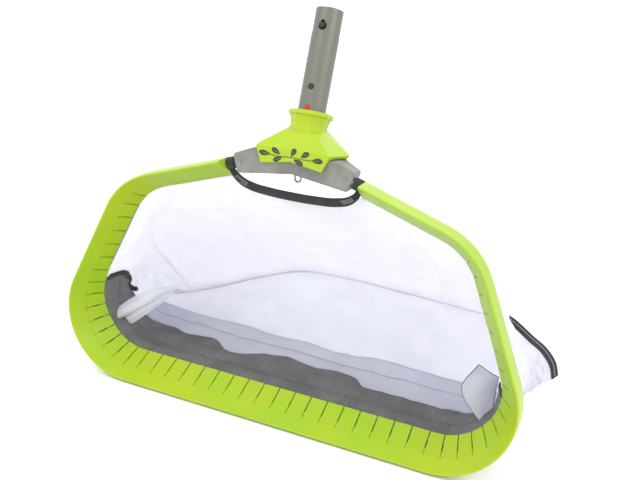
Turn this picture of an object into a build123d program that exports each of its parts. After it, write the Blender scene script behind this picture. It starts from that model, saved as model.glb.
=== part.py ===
"""Deep-bag leaf skimmer net: a rod hoop with a moulded scoop edge, a cast handle bracket,
a handle tube with a snap-button spring clip, and a sewn net bag.

Frame: millimetres, +Z up, the mouth faces -Y and the bag hangs towards +Y.  The origin is on
the handle tube's axis, where the end of a pole comes to rest on the collar's rim.
"head" coordinates below are (x, depth, height): depth is measured back from the scoop's
front lip and height up from its bottom lip.
"""

import os
from math import atan2, cos, degrees, radians, sin, sqrt, tan

from build123d import *

# ---- mouth outline: sharp corners of the scoop's front lip, in head coordinates ----
lip_half_width = 295.0
shoulder_half_width = 191.0
shoulder_height = 230.0
arm_slope = 17.9  # degrees, fall of each arm from the bracket to the shoulder
arm_end_half_width = 74.0
lower_corner_radius = 76.0
shoulder_radius = 76.0

# ---- scoop edge section ----
face_angle = 64.1  # degrees between the scoop's face and the mouth plane
scoop_wall = 2.2
bottom_depth = 43.0
side_depth = 33.4
depth_blend_low = 45.0  # heights between which the rear edge runs from bottom to side depth
depth_blend_high = 125.0
bead_bulge = 3.7  # how far the rod's bead stands out past the lip
bead_wall = 1.6
slit_width = 1.3
slit_pitch = 19.0
slit_groove_depth = 0.9
slit_start = 18.5  # distance across the face from the lip
slit_wall_gap = 1.0  # plain wall between the bead and where the slits go through
lip_nose = 0.77  # how far the rounded lip's centre is set back from the lip line
drain_hole_radius = 1.0
drain_holes_per_arm = 5

# ---- hoop rod and the fabric held in the bead ----
rod_radius = 4.0
rod_depth = 20.7
rod_insertion = 24.0  # length of rod inside the bracket
sleeve_wall = 0.8
fit_gap = 0.1
tape_thickness = 1.0
tape_reach = 40.0  # distance across the face at which the rim tape ends

# ---- handle ----
handle_lean = 12.7  # degrees, handle axis leaning back from the mouth plane
tube_radius = 14.3
tube_wall = 1.6
tube_length = 125.0
tube_lead_in = 26.0  # length of the slightly reduced end that leads into a pole
tube_step = 0.3  # how far the lead-in and the gripped foot lie under the tube's surface
collar_grip = 22.0  # length of tube inside the collar, up to its rim
tube_foot_depth = 48.4
tube_foot_rise = 11.7  # height of the tube's foot over the point where the arms' lines meet
button_from_end = 18.5
stud_from_end = 79.0
rivet_from_end = 99.5
button_radius = 3.2
button_hole_radius = 4.4
button_hole_tip = 6.2  # the hole's narrow tip, from its centre towards the tube's end
button_rise = 3.6
button_crown = 0.85  # rounding of the button's end, as a share of its radius
button_travel_angle = 4.2  # degrees of arm swing that brings the button flush
stud_radius = 3.1
rivet_radius = 3.0
spring_thickness = 0.8
spring_width = 9.0
spring_hinge_from_end = 72.0
spring_tip_from_end = 11.0
spring_split = 0.3

# ---- bracket ----
rod_gap = 11.0  # bare rod between the scoop's arm end and the bracket
bracket_above_rod = 9.8
bracket_below_rod = 10.6
knee_drop = 25.2  # the knee and the crest lie this far below the point where the arms' lines meet
bracket_crest_drop = 5.2
bracket_crest_taper = 17.6  # run of each sloping end of the crest
bracket_front = 15.0
bracket_end_back = 33.0
bracket_back = 50.0
casting_fillet = 3.0
hub_step = 1.3  # how far the hub stands out past the tube
hub_length = 30.0
spigot_length = 31.0
spigot_gap = 0.15
set_screw_radius = 2.0
set_screw_inset = 7.0

# ---- collar and name plate shells: outlines are (x, height over the point where the arms' lines meet) ----
plate_half = [(0, -12.5), (32.1, -17.9), (39.2, -1.2), (14.0, 14.3)]
base_half = [(0, -11.7), (37.0, -17.2), (50.0, -2.2), (19.0, 17.3)]
back_half = [(0, -9.7), (30.0, -12.7), (38.0, -2.2), (15.0, 16.3)]
plate_front = 11.0
plate_ridge_drop = 0.2  # the plate leans back above a ridge this far below the meeting point
plate_slope = 44.0  # degrees, how far the upper plate leans back
shell_base_depth = 42.0
shell_back_depth = 66.0
shell_gap = 0.25
collar_sides = 8
collar_wall = 3.3
collar_rim_width = 7.2
collar_rim_height = 4.5
collar_rim_ledge = 1.8  # step under the rim
collar_foot_flare = 1.0
collar_waist_drop = 13.0
shell_screw_x = 27.0
shell_screw_drop = 7.7
shell_screw_radius = 2.0
shell_screw_head_radius = 3.6
shell_screw_head_height = 2.4
shell_screw_bite = 2.0
shell_screw_sink = 8.0  # depth of each head's seat below the rear shell's back

# ---- hanging staple under the knee ----
staple_wire_radius = 1.1
staple_half_width = 3.2
staple_depth = 34.0
staple_drop = 11.3
staple_bite = 5.0

# ---- strap ----
strap_width = 9.5
strap_thickness = 1.4
strap_depth = 21.7
strap_tab_shift = 2.5  # each end tab stands this far inwards of its loop's centre
strap_end_drop = 38.7  # depths below the point where the arms' lines meet
strap_mid_drop = 49.2

# ---- bag: heights of its sections are measured from the far seam ----
# Each section: depth, low corner (inset from the mouth's side, rise), high corner (inset, rise),
# crest corner (x, rise), crest rise on the middle line, corner radius.
bag_sections = [
    (112.0, (8.3, -69.0), (9.2, 86.0), (88.0, 120.0), 114.0, 40.0),
    (180.0, (0.9, -46.0), (13.8, 36.0), (110.0, 68.0), 63.0, 26.0),
    (238.0, (10.6, -10.0), (28.3, 4.0), (120.0, 15.0), 18.0, 5.0),
]
bag_rim_corner = 52.0
bag_wall = 1.4
bag_rim_gap = 0.3
wear_strip_depth = 122.0
wear_strip_height = 100.0
hem_depth = 160.0
hem_height = 76.0
seam_height = 86.0
seam_thickness = 1.6
seam_width = 9.5
seam_gap = 1.4
seam_clearance = 1.1  # spare room between the seam's line and the bag's sides
seam_corner = 3.0
seam_side_radius = 20.0
ear_thickness = 2.4
ear_width = 15.0
ear_depth = 56.0
left_ear = ((73.0, 84.0), (45.0, 40.0))  # (inset from the mouth's side, height) of each ear's two ends
right_ear = ((47.4, 92.0), (51.0, 40.0))

# ---- derived places ----
margin = 10.0  # how far cutting shapes run past what they cut
lean = radians(handle_lean)
face = radians(face_angle)
arm_lift = radians(arm_slope)
arm_tan = tan(arm_lift)
arm_apex = shoulder_height + shoulder_half_width * arm_tan  # where the arms' lip lines would meet
knee_height = arm_apex - knee_drop
bracket_crest_height = arm_apex - bracket_crest_drop
strap_end_height = arm_apex - strap_end_drop
strap_mid_height = arm_apex - strap_mid_drop
lip_y = -(tube_foot_depth + collar_grip * sin(lean))
base_z = -(arm_apex + tube_foot_rise + collar_grip * cos(lean))
bead_radius = rod_radius + sleeve_wall + 2 * fit_gap + bead_wall
bead_inset = bead_radius - bead_bulge
tube_bore_radius = tube_radius - tube_wall
tube_seat_radius = tube_radius - tube_step
tube_end = tube_length - collar_grip
button_center = tube_end - button_from_end
stud_center = tube_end - stud_from_end
hub_radius = tube_radius + hub_step
collar_waist_apothem = tube_radius + collar_wall
collar_rim_apothem = tube_radius + collar_rim_width

mouth = Plane(origin=(0, lip_y, base_z), x_dir=(1, 0, 0), z_dir=(0, -1, 0))
handle = Plane(origin=(0, 0, 0), x_dir=(1, 0, 0), z_dir=(0, sin(lean), cos(lean)))
foot_plane = handle.offset(-collar_grip)
side_view = Plane(origin=(0, lip_y, base_z), x_dir=(0, 1, 0), z_dir=(1, 0, 0))
top_view = Plane(origin=(0, lip_y, base_z), x_dir=(1, 0, 0), z_dir=(0, 0, 1))


def at_depth(depth):
    """The mouth plane moved back by a depth; its local axes are x and height."""
    return mouth.offset(-depth)


def across_tube(height):
    """Plane through the tube's axis at a height above the rim, facing forwards."""
    return Plane(origin=handle.from_local_coords((0, 0, height)), x_dir=(1, 0, 0), z_dir=-handle.y_dir)


def side_x(height):
    """Distance of the scoop's lip from the middle line, over its straight side, at a height."""
    return lip_half_width - (lip_half_width - shoulder_half_width) * height / shoulder_height


def mirrored(half):
    """A closed outline from its right half, listed upwards from the bottom."""
    left = [(-x, z) for x, z in reversed(half) if x > 0]
    return half + left


def hoop_points(inset, arm_end):
    """Corners of the hoop's open outline moved inwards by inset, left arm end first."""
    low = Vector(lip_half_width, 0)
    high = Vector(shoulder_half_width, shoulder_height)
    along = [Vector(1, 0), (high - low).normalized(), Vector(-cos(arm_lift), sin(arm_lift))]
    inward = [Vector(-d.Y, d.X) for d in along]
    corners = []
    for corner, first, second in ((low, inward[0], inward[1]), (high, inward[1], inward[2])):
        corners.append(corner + (first + second) * (inset / (1 + first.dot(second))))
    start = corners[1]
    corners.append(start + along[2] * ((start.X - arm_end) / cos(arm_lift)))
    right = [(p.X, p.Y) for p in corners]
    return [(-x, z) for x, z in reversed(right)] + right


def hoop_radii(inset):
    """Corner radii that stay concentric when the outline moves inwards."""
    upper = shoulder_radius - inset
    lower = lower_corner_radius - inset
    return [upper, lower, lower, upper]


def section_plane(path):
    """Plane across the start of a hoop path: local x points inwards, local y forwards."""
    tangent = path % 0
    inward = Vector(-tangent.Z, 0, tangent.X)
    return Plane(origin=path @ 0, x_dir=inward, z_dir=tangent)


def face_point(across, below):
    """Section point at a distance across the scoop's face and below its surface."""
    return (across * cos(face) - below * sin(face), -across * sin(face) - below * cos(face))


def strip(start, stop, top, bottom):
    """Corners of a section strip that lies parallel to the scoop's face."""
    corners = ((start, top), (stop, top), (stop, bottom), (start, bottom))
    return [face_point(across, below) for across, below in corners]


# ---- paths along the hoop ----
rod_arm_end = arm_end_half_width - bead_inset * sin(arm_lift)
bracket_end = rod_arm_end - rod_gap * cos(arm_lift)
rod_inner_end = bracket_end - rod_insertion * cos(arm_lift)


def rod_height(x):
    """Height of the rod's centre over its arm at a distance x from the middle."""
    return arm_apex - x * arm_tan - bead_inset / cos(arm_lift)


with BuildLine(mouth) as lip_path:
    FilletPolyline(*hoop_points(0, arm_end_half_width), radius=hoop_radii(0))

with BuildLine(at_depth(rod_depth)) as rod_path:
    FilletPolyline(*hoop_points(bead_inset, rod_inner_end), radius=hoop_radii(bead_inset))

with BuildLine(at_depth(rod_depth)) as sleeve_path:
    FilletPolyline(*hoop_points(bead_inset, rod_arm_end), radius=hoop_radii(bead_inset))

lip_wire = lip_path.wire()
rod_wire = rod_path.wire()
sleeve_wire = sleeve_path.wire()
lip_section = section_plane(lip_wire)
lip_length = lip_wire.length
face_length = bottom_depth / sin(face)
side_face_length = side_depth / sin(face)
bead_center = (bead_inset, -rod_depth)
bead_across = bead_inset * cos(face) + rod_depth * sin(face)
lip_edge_radius = scoop_wall / 2
slit_through_start = bead_across + bead_radius + slit_wall_gap


def hoop_frame(distance, across):
    """Location on the scoop's face: x along the hoop, y across the face, z out of it."""
    tangent = lip_wire.tangent_at(distance, position_mode=PositionMode.LENGTH)
    point = lip_wire.position_at(distance, position_mode=PositionMode.LENGTH)
    inward = Vector(-tangent.Z, 0, tangent.X)
    down_face = inward * cos(face) + Vector(0, 1, 0) * sin(face)
    plane = Plane(origin=point + down_face * across, x_dir=tangent, z_dir=tangent.cross(down_face))
    return Location(plane)


# ---- scoop blade ----
arm_run = sqrt((shoulder_half_width - arm_end_half_width) ** 2 * (1 + arm_tan**2))
slit_count = int((lip_length / 2 - arm_run) / slit_pitch)
slit_distances = [lip_length / 2 + k * slit_pitch for k in range(-slit_count, slit_count + 1)]
groove_stop = slit_through_start + slit_groove_depth
drain_distances = []
for k in range(1, drain_holes_per_arm + 1):
    drain_distances.append(k * slit_pitch)
    drain_distances.append(lip_length - k * slit_pitch)
through_height = 3 * scoop_wall

with BuildPart() as scoop_blade:
    with BuildSketch(lip_section):
        with BuildLine():
            CenterArc(face_point(lip_nose, lip_edge_radius), lip_edge_radius, 0, 360)
            CenterArc(bead_center, bead_radius, 0, 360)
        make_hull()
        Polygon(*strip(lip_nose, face_length, 0, scoop_wall), align=None)
        with Locations(bead_center):
            Circle(bead_radius - bead_wall, mode=Mode.SUBTRACT)
        slot_top = scoop_wall + fit_gap
        slot_bottom = slot_top + tape_thickness + 3 * fit_gap
        Polygon(
            *strip(bead_across, bead_across + bead_radius + scoop_wall, slot_top, slot_bottom),
            align=None,
            mode=Mode.SUBTRACT,
        )
    sweep(path=lip_wire)
    with BuildSketch(side_view):
        top_limit = shoulder_height + lip_half_width
        Polygon(
            (bottom_depth, -margin),
            (bottom_depth, depth_blend_low),
            (side_depth, depth_blend_high),
            (side_depth, top_limit),
            (bottom_depth + margin, top_limit),
            (bottom_depth + margin, -margin),
            align=None,
        )
    extrude(amount=2 * lip_half_width, both=True, mode=Mode.SUBTRACT)
    slit_length = face_length - slit_through_start + scoop_wall
    with Locations(*[hoop_frame(d, slit_through_start + slit_length / 2) for d in slit_distances]):
        Box(slit_width, slit_length, through_height, mode=Mode.SUBTRACT)
    groove_length = groove_stop - slit_start
    with Locations(*[hoop_frame(d, slit_start + groove_length / 2) for d in slit_distances]):
        Box(slit_width, groove_length, 2 * slit_groove_depth, mode=Mode.SUBTRACT)
    hole_across = (slit_through_start + side_face_length) / 2
    with Locations(*[hoop_frame(d, hole_across) for d in drain_distances]):
        Cylinder(drain_hole_radius, through_height, mode=Mode.SUBTRACT)

# ---- hoop rod and the fabric sleeve round it ----
with BuildPart() as hoop_rod:
    with BuildSketch(section_plane(rod_wire)):
        Circle(rod_radius)
    sweep(path=rod_wire)

with BuildPart() as net_sleeve:
    with BuildSketch(section_plane(sleeve_wire)):
        Circle(rod_radius + fit_gap + sleeve_wall)
        Circle(rod_radius + fit_gap, mode=Mode.SUBTRACT)
    sweep(path=sleeve_wire)

# ---- rim tape: leaves the bead through its slot and carries the bag ----
tape_top = slot_top + fit_gap
tape_bottom = tape_top + tape_thickness
sleeve_radius = rod_radius + fit_gap + sleeve_wall
bead_below = bead_inset * -sin(face) + rod_depth * cos(face)
tape_start = bead_across + sqrt(sleeve_radius**2 - (bead_below - tape_bottom) ** 2) + fit_gap

with BuildPart() as rim_tape:
    with BuildSketch(lip_section):
        Polygon(*strip(tape_start, tape_reach, tape_top, tape_bottom), align=None)
    sweep(path=lip_wire)

# ---- bracket ----
end_center = Vector(bracket_end, rod_height(bracket_end))
end_normal = Vector(sin(arm_lift), cos(arm_lift))
end_top = end_center + end_normal * bracket_above_rod
end_low = end_center - end_normal * bracket_below_rod
arm_direction = Vector(cos(arm_lift), 0, -sin(arm_lift))


def bracket_blank(gap):
    """The chevron casting's outer block, grown all round by gap."""
    crest = bracket_crest_height + gap
    front_half = [
        (0, knee_height - gap),
        (end_low.X + gap, end_low.Y - gap),
        (end_top.X + gap, end_top.Y + gap),
        (bracket_end - bracket_crest_taper, crest),
    ]
    plan = [
        (0, bracket_front - gap),
        (end_top.X + margin, bracket_front - gap),
        (end_top.X + margin, bracket_end_back + gap),
        (hub_radius + rod_radius, bracket_back + gap),
        (0, bracket_back + gap),
    ]
    with BuildPart() as block:
        with BuildSketch(mouth):
            Polygon(*mirrored(front_half), align=None)
        extrude(amount=-(bracket_back + margin))
        with BuildSketch(top_view):
            Polygon(*mirrored(plan), align=None)
        extrude(amount=2 * bracket_crest_height, mode=Mode.INTERSECT)
        corners = block.edges().filter_by(Axis.Y).sort_by(Axis.X)
        fillet([corners[0], corners[1], corners[-1], corners[-2]], radius=casting_fillet)
    return block.part


bracket_shape = bracket_blank(0)
bracket_pocket = bracket_blank(shell_gap)


def rod_bore_plane(side):
    """Plane on a bracket end, its normal pointing out along the rod."""
    point = Vector(side * bracket_end, lip_y + rod_depth, base_z + rod_height(bracket_end))
    return Plane(origin=point, z_dir=(side * arm_direction.X, 0, arm_direction.Z))


def set_screw_plane(side):
    """Plane on the bracket's front face over a rod end, facing forwards."""
    x = bracket_end - set_screw_inset * cos(arm_lift)
    point = mouth.from_local_coords((side * x, rod_height(x), -bracket_front))
    return at_depth(bracket_front).shift_origin(point)


shell_screw_height = arm_apex - shell_screw_drop
screw_spots = [(-shell_screw_x, shell_screw_height), (shell_screw_x, shell_screw_height)]
rivet_plane = across_tube(tube_end - rivet_from_end)
screw_seat = shell_back_depth - shell_screw_sink
set_screw_hole_length = rod_depth - rod_radius - bracket_front
with BuildPart() as bracket:
    add(bracket_shape)
    with BuildSketch(foot_plane):
        Circle(hub_radius)
    extrude(amount=-hub_length)
    with BuildSketch(foot_plane):
        Circle(tube_bore_radius - spigot_gap)
    extrude(amount=spigot_length)
    for side in (-1, 1):
        with BuildSketch(rod_bore_plane(side)):
            Circle(rod_radius + fit_gap / 2)
        extrude(amount=-(rod_insertion + fit_gap), mode=Mode.SUBTRACT)
        with BuildSketch(set_screw_plane(side)):
            Circle(set_screw_radius + fit_gap)
        extrude(amount=-set_screw_hole_length, mode=Mode.SUBTRACT)
    with BuildSketch(at_depth(0)):
        with Locations(*screw_spots):
            Circle(shell_screw_radius + fit_gap)
    extrude(amount=-bracket_back - margin, mode=Mode.SUBTRACT)
    with BuildSketch(rivet_plane):
        Circle(rivet_radius)
    extrude(amount=tube_radius, mode=Mode.SUBTRACT)
    with BuildSketch(top_view.offset(knee_height - staple_drop)):
        with Locations((-staple_half_width, staple_depth), (staple_half_width, staple_depth)):
            Circle(staple_wire_radius + fit_gap / 2)
    extrude(amount=staple_drop + staple_bite, mode=Mode.SUBTRACT)

# ---- handle tube ----
with BuildPart() as handle_tube:
    with BuildSketch(foot_plane):
        Circle(tube_seat_radius)
        Circle(tube_bore_radius, mode=Mode.SUBTRACT)
    extrude(amount=tube_length)
    with BuildSketch(handle.offset(fit_gap)):
        Circle(tube_radius)
        Circle(tube_bore_radius, mode=Mode.SUBTRACT)
    extrude(amount=tube_end - tube_lead_in - fit_gap)
    with BuildSketch(across_tube(button_center)):
        with BuildLine():
            CenterArc((0, 0), button_hole_radius, 0, 360)
            CenterArc((0, button_hole_tip - drain_hole_radius), drain_hole_radius, 0, 360)
        make_hull()
    extrude(amount=tube_radius + margin, both=True, mode=Mode.SUBTRACT)
    with BuildSketch(across_tube(stud_center)):
        Circle(stud_radius + 2 * fit_gap)
    extrude(amount=tube_radius + margin, both=True, mode=Mode.SUBTRACT)
    with BuildSketch(rivet_plane):
        Circle(rivet_radius)
    extrude(amount=tube_radius + margin, mode=Mode.SUBTRACT)

with BuildPart() as tube_rivet:
    with BuildSketch(rivet_plane.offset(tube_radius / 3)):
        Circle(rivet_radius - fit_gap)
    extrude(amount=tube_radius * 2 / 3 - 2 * fit_gap)

# ---- spring clip: fixed base, two arms, two buttons ----
spring_outer_radius = sqrt((tube_bore_radius - fit_gap) ** 2 - (spring_width / 2) ** 2)
spring_center_radius = spring_outer_radius - spring_thickness / 2
base_top = tube_end - spring_hinge_from_end - spring_split - spring_thickness / 2
bend_center = tube_end - spring_hinge_from_end - spring_width
stud_reach = tube_radius - 2 * fit_gap
clip_side = Plane(origin=(0, 0, 0), x_dir=-handle.y_dir, z_dir=(-1, 0, 0))

with BuildPart() as clip_base:
    with BuildSketch(clip_side):
        with BuildLine():
            Line((-spring_center_radius, base_top), (-spring_center_radius, bend_center))
            JernArc((-spring_center_radius, bend_center), (0, -1), spring_center_radius, 180)
            Line((spring_center_radius, bend_center), (spring_center_radius, base_top))
            offset(amount=spring_thickness / 2, side=Side.BOTH)
        make_face()
    extrude(amount=spring_width / 2, both=True)
    with BuildSketch(across_tube(stud_center).offset(spring_center_radius)):
        Circle(stud_radius)
    extrude(amount=stud_reach - spring_center_radius)
    with BuildSketch(across_tube(stud_center).offset(-spring_center_radius)):
        Circle(stud_radius)
    extrude(amount=spring_center_radius - stud_reach)

clip_arms = {}
snap_buttons = {}
for name, side in (("front", 1), ("rear", -1)):
    with BuildPart() as clip_arm:
        with BuildSketch(clip_side):
            arm_low = tube_end - spring_hinge_from_end
            arm_high = tube_end - spring_tip_from_end
            with Locations((side * spring_center_radius, (arm_low + arm_high) / 2)):
                Rectangle(spring_thickness, arm_high - arm_low)
        extrude(amount=spring_width / 2, both=True)
    clip_arm.part.label = f"clip_arm_{name}"
    clip_arms[name] = clip_arm.part
    with BuildPart() as snap_button:
        with BuildSketch(across_tube(button_center).offset(side * spring_outer_radius)):
            Circle(button_radius)
        extrude(amount=side * (tube_radius + button_rise - spring_outer_radius))
        outward = Axis((0, 0, 0), tuple(handle.y_dir * -side))
        crown_edge = snap_button.edges().filter_by(GeomType.CIRCLE).sort_by(outward)[-1]
        fillet(crown_edge, radius=button_crown * button_radius)
    snap_button.part.label = f"snap_button_{name}"
    snap_buttons[name] = snap_button.part

# ---- collar and name plate, one moulding split on the handle's mid-plane ----
plate_ridge_height = arm_apex - plate_ridge_drop
slope_rise = shoulder_height  # the leaning cut runs clear past the top of the plate
slope_run = slope_rise * tan(radians(plate_slope))


def shell_outline(half):
    """A whole shell outline in head coordinates from its right half over the arms' meeting point."""
    return mirrored([(x, arm_apex + rise) for x, rise in half])


def collar_octagon(apothem):
    """One section of the collar, a flat facing forwards."""
    return RegularPolygon(apothem, collar_sides, major_radius=False, rotation=180 / collar_sides)


with BuildPart() as yoke:
    with BuildSketch(at_depth(plate_front)):
        Polygon(*shell_outline(plate_half), align=None)
    with BuildSketch(at_depth(shell_base_depth)):
        Polygon(*shell_outline(base_half), align=None)
    loft(ruled=True)
    with BuildSketch(at_depth(shell_base_depth)):
        Polygon(*shell_outline(base_half), align=None)
    with BuildSketch(at_depth(shell_back_depth)):
        Polygon(*shell_outline(back_half), align=None)
    loft(ruled=True)
    with BuildSketch(side_view):
        Polygon(
            (plate_front, plate_ridge_height),
            (plate_front + slope_run, plate_ridge_height + slope_rise),
            (-margin, plate_ridge_height + slope_rise),
            (-margin, plate_ridge_height),
            align=None,
        )
    extrude(amount=lip_half_width, both=True, mode=Mode.SUBTRACT)
    with BuildSketch(foot_plane):
        collar_octagon(collar_waist_apothem + collar_foot_flare)
    with BuildSketch(handle.offset(-collar_waist_drop)):
        collar_octagon(collar_waist_apothem)
    with BuildSketch(handle.offset(-collar_rim_height)):
        collar_octagon(collar_rim_apothem - collar_rim_ledge)
    loft(ruled=True)
    with BuildSketch(handle.offset(-collar_rim_height)):
        collar_octagon(collar_rim_apothem)
    extrude(amount=collar_rim_height)
    with BuildSketch(foot_plane.offset(-shell_gap)):
        Circle(tube_seat_radius + shell_gap)
    extrude(amount=tube_length, mode=Mode.SUBTRACT)
    with BuildSketch(foot_plane):
        Circle(hub_radius + shell_gap)
    extrude(amount=-hub_length - margin, mode=Mode.SUBTRACT)
    add(bracket_pocket, mode=Mode.SUBTRACT)
    with BuildSketch(at_depth(plate_front + shell_screw_bite)):
        with Locations(*screw_spots):
            Circle(shell_screw_radius + fit_gap)
    extrude(amount=-shell_back_depth, mode=Mode.SUBTRACT)
    with BuildSketch(at_depth(screw_seat)):
        with Locations(*screw_spots):
            Circle(shell_screw_head_radius + fit_gap)
    extrude(amount=-shell_back_depth, mode=Mode.SUBTRACT)

with BuildPart() as yoke_shell_front:
    add(yoke.part)
    split(bisect_by=across_tube(0).offset(fit_gap), keep=Keep.TOP)

with BuildPart() as yoke_shell_rear:
    add(yoke.part)
    split(bisect_by=across_tube(0).offset(-fit_gap), keep=Keep.BOTTOM)

# ---- fasteners ----
with BuildPart() as shell_screws:
    with BuildSketch(at_depth(screw_seat)):
        with Locations(*screw_spots):
            Circle(shell_screw_head_radius)
    extrude(amount=-shell_screw_head_height)
    with BuildSketch(at_depth(screw_seat)):
        with Locations(*screw_spots):
            Circle(shell_screw_radius)
    extrude(amount=screw_seat - plate_front - shell_screw_bite - fit_gap)

with BuildPart() as rod_set_screws:
    for side in (-1, 1):
        with BuildSketch(set_screw_plane(side).offset(-fit_gap)):
            Circle(set_screw_radius)
            RegularPolygon(set_screw_radius / 2, 6, mode=Mode.SUBTRACT)
        extrude(amount=-set_screw_hole_length + 2 * fit_gap)

staple_leg_top = knee_height + staple_bite - fit_gap
staple_bend_height = knee_height - staple_drop + staple_wire_radius + staple_half_width
with BuildPart() as hanging_staple:
    with BuildLine(at_depth(staple_depth)) as staple_path:
        Line((-staple_half_width, staple_leg_top), (-staple_half_width, staple_bend_height))
        JernArc((-staple_half_width, staple_bend_height), (0, -1), staple_half_width, 180)
        Line((staple_half_width, staple_bend_height), (staple_half_width, staple_leg_top))
    with BuildSketch(Plane(origin=staple_path.wire() @ 0, z_dir=staple_path.wire() % 0)):
        Circle(staple_wire_radius)
    sweep(path=staple_path.wire())

# ---- strap across the bracket, and its loops round the bare rod ----
loop_center = (rod_arm_end + bracket_end) / 2
loop_inner = rod_radius + fit_gap
loop_outer = loop_inner + strap_thickness
tab_center = loop_center - strap_tab_shift
tab_top = rod_height(tab_center + strap_width / 2) - loop_outer / cos(arm_lift) - fit_gap
tab_low = strap_end_height - strap_width / 2

with BuildPart() as strap_top:
    with BuildSketch(at_depth(strap_depth - strap_thickness / 2)):
        with BuildLine():
            for offset_height in (strap_width / 2, -strap_width / 2):
                ThreePointArc(
                    (-tab_center, strap_end_height + offset_height),
                    (0, strap_mid_height + offset_height),
                    (tab_center, strap_end_height + offset_height),
                )
            for side in (-1, 1):
                Line(
                    (side * tab_center, strap_end_height + strap_width / 2),
                    (side * tab_center, strap_end_height - strap_width / 2),
                )
        make_face()
        with Locations(*[(side * tab_center, (tab_top + tab_low) / 2) for side in (-1, 1)]):
            Rectangle(strap_width, tab_top - tab_low)
    extrude(amount=-strap_thickness)

strap_loops = {}
for name, side in (("left", -1), ("right", 1)):
    loop_origin = Vector(side * loop_center, lip_y + rod_depth, base_z + rod_height(loop_center))
    loop_plane = Plane(origin=loop_origin, z_dir=(side * arm_direction.X, 0, arm_direction.Z))
    with BuildPart() as strap_loop:
        with BuildSketch(loop_plane):
            Circle(loop_outer)
            Circle(loop_inner, mode=Mode.SUBTRACT)
        extrude(amount=strap_width / 2, both=True)
    strap_loop.part.label = f"strap_loop_{name}"
    strap_loops[name] = strap_loop.part

# ---- bag: one closed shell, cut into the panels it is sewn from ----
bag_rim_depth = tape_reach * sin(face) + tape_bottom * cos(face) + bag_rim_gap
bag_rim_inset = tape_reach * cos(face) - tape_bottom * sin(face)


def rim_half():
    """Right half of the bag's rim, just behind the rim tape and below the strap."""
    right = hoop_points(bag_rim_inset, arm_end_half_width)[3:]
    drop = strap_mid_height - strap_width / 2
    return right + [(0, drop)]


def section_half(low, high, crest_corner, crest_rise):
    """Right half of one further section, listed upwards from its low corner to its crest."""
    half = []
    for inset, rise in (low, high):
        height = seam_height + rise
        half.append((side_x(height) - inset, height))
    half.append((crest_corner[0], seam_height + crest_corner[1]))
    half.append((0, seam_height + crest_rise))
    return half


bag_stations = [(bag_rim_depth, rim_half(), bag_rim_corner)]
for depth, low, high, crest_corner, crest_rise, corner in bag_sections:
    bag_stations.append((depth, section_half(low, high, crest_corner, crest_rise), corner))
bag_end = bag_stations[-1][0]


def bag_solid(inset):
    """The bag's volume through its stations, with the walls moved inwards by inset."""
    with BuildPart() as volume:
        for depth, half, corner in bag_stations:
            back = inset if depth == bag_end else 0
            with BuildSketch(at_depth(depth - back)):
                with BuildLine():
                    FilletPolyline(*mirrored(half), radius=corner, close=True)
                make_face()
                if inset:
                    offset(amount=-inset, kind=Kind.INTERSECTION)
        loft(ruled=True)
    return volume.part


bag_outer = bag_solid(0)
bag_inner = bag_solid(bag_wall)

with BuildPart() as bag_shell:
    add(bag_outer)
    add(bag_inner, mode=Mode.SUBTRACT)


def panel_box(low_depth, high_depth, height):
    """A block over the bag's bottom between two depths, up to a height."""
    with BuildPart() as block:
        with BuildSketch(side_view):
            Polygon(
                (low_depth, -margin),
                (high_depth, -margin),
                (high_depth, height),
                (low_depth, height),
                align=None,
            )
        extrude(amount=2 * lip_half_width, both=True)
    return block.part


strip_block = panel_box(0, wear_strip_depth, wear_strip_height)
hem_block = panel_box(wear_strip_depth, hem_depth, hem_height)

with BuildPart() as wear_strip:
    add(bag_shell.part)
    add(strip_block, mode=Mode.INTERSECT)

with BuildPart() as hem_band:
    add(bag_shell.part)
    add(hem_block, mode=Mode.INTERSECT)

with BuildPart() as bag_net:
    add(bag_shell.part)
    add(strip_block, mode=Mode.SUBTRACT)
    add(hem_block, mode=Mode.SUBTRACT)

# ---- webbing sewn round the bag's far seam ----
def seam_half_width(half):
    """Half-width of a section's side at the seam's height, between its low and high corners."""
    (low_x, low_z), (high_x, high_z) = half[:2]
    return low_x + (high_x - low_x) * (seam_height - low_z) / (high_z - low_z) + seam_clearance


seam_side = seam_half_width(bag_stations[-2][1])
seam_end = seam_half_width(bag_stations[-1][1])
seam_bend_depth = bag_stations[-2][0]


def seam_line(gap):
    """Line round the bag's far end at the seam's height, a gap outside its wall."""
    right = [
        (seam_end + gap, bag_end + gap),
        (seam_side + gap, seam_bend_depth),
        (seam_side + gap, hem_depth),
    ]
    return [(-x, depth) for x, depth in reversed(right)] + right


with BuildPart() as far_seam_binding:
    with BuildSketch(top_view.offset(seam_height - seam_thickness / 2)):
        with BuildLine():
            outer_corner = seam_corner + seam_width
            outer_line = FilletPolyline(
                *seam_line(seam_gap + seam_width),
                radius=[seam_side_radius, outer_corner, outer_corner, seam_side_radius],
            )
            inner_line = FilletPolyline(
                *seam_line(seam_gap),
                radius=[seam_side_radius, seam_corner, seam_corner, seam_side_radius],
            )
            Line(outer_line @ 0, inner_line @ 0)
            Line(outer_line @ 1, inner_line @ 1)
        make_face()
    extrude(amount=seam_thickness)

# ---- folded net ears in the bag's lower corners ----
ears = {}
for name, side, ends in (("left", -1, left_ear), ("right", 1, right_ear)):
    high_end, low_end = [Vector(side * (side_x(height) - inset), height) for inset, height in ends]
    middle = (high_end + low_end) / 2
    run = low_end - high_end
    with BuildPart() as ear:
        with BuildSketch(at_depth(ear_depth)):
            with Locations((middle.X, middle.Y)):
                SlotOverall(run.length, ear_width, rotation=degrees(atan2(run.Y, run.X)))
        extrude(amount=-ear_thickness)
    ear.part.label = f"corner_ear_{name}"
    ears[name] = ear.part

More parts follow.
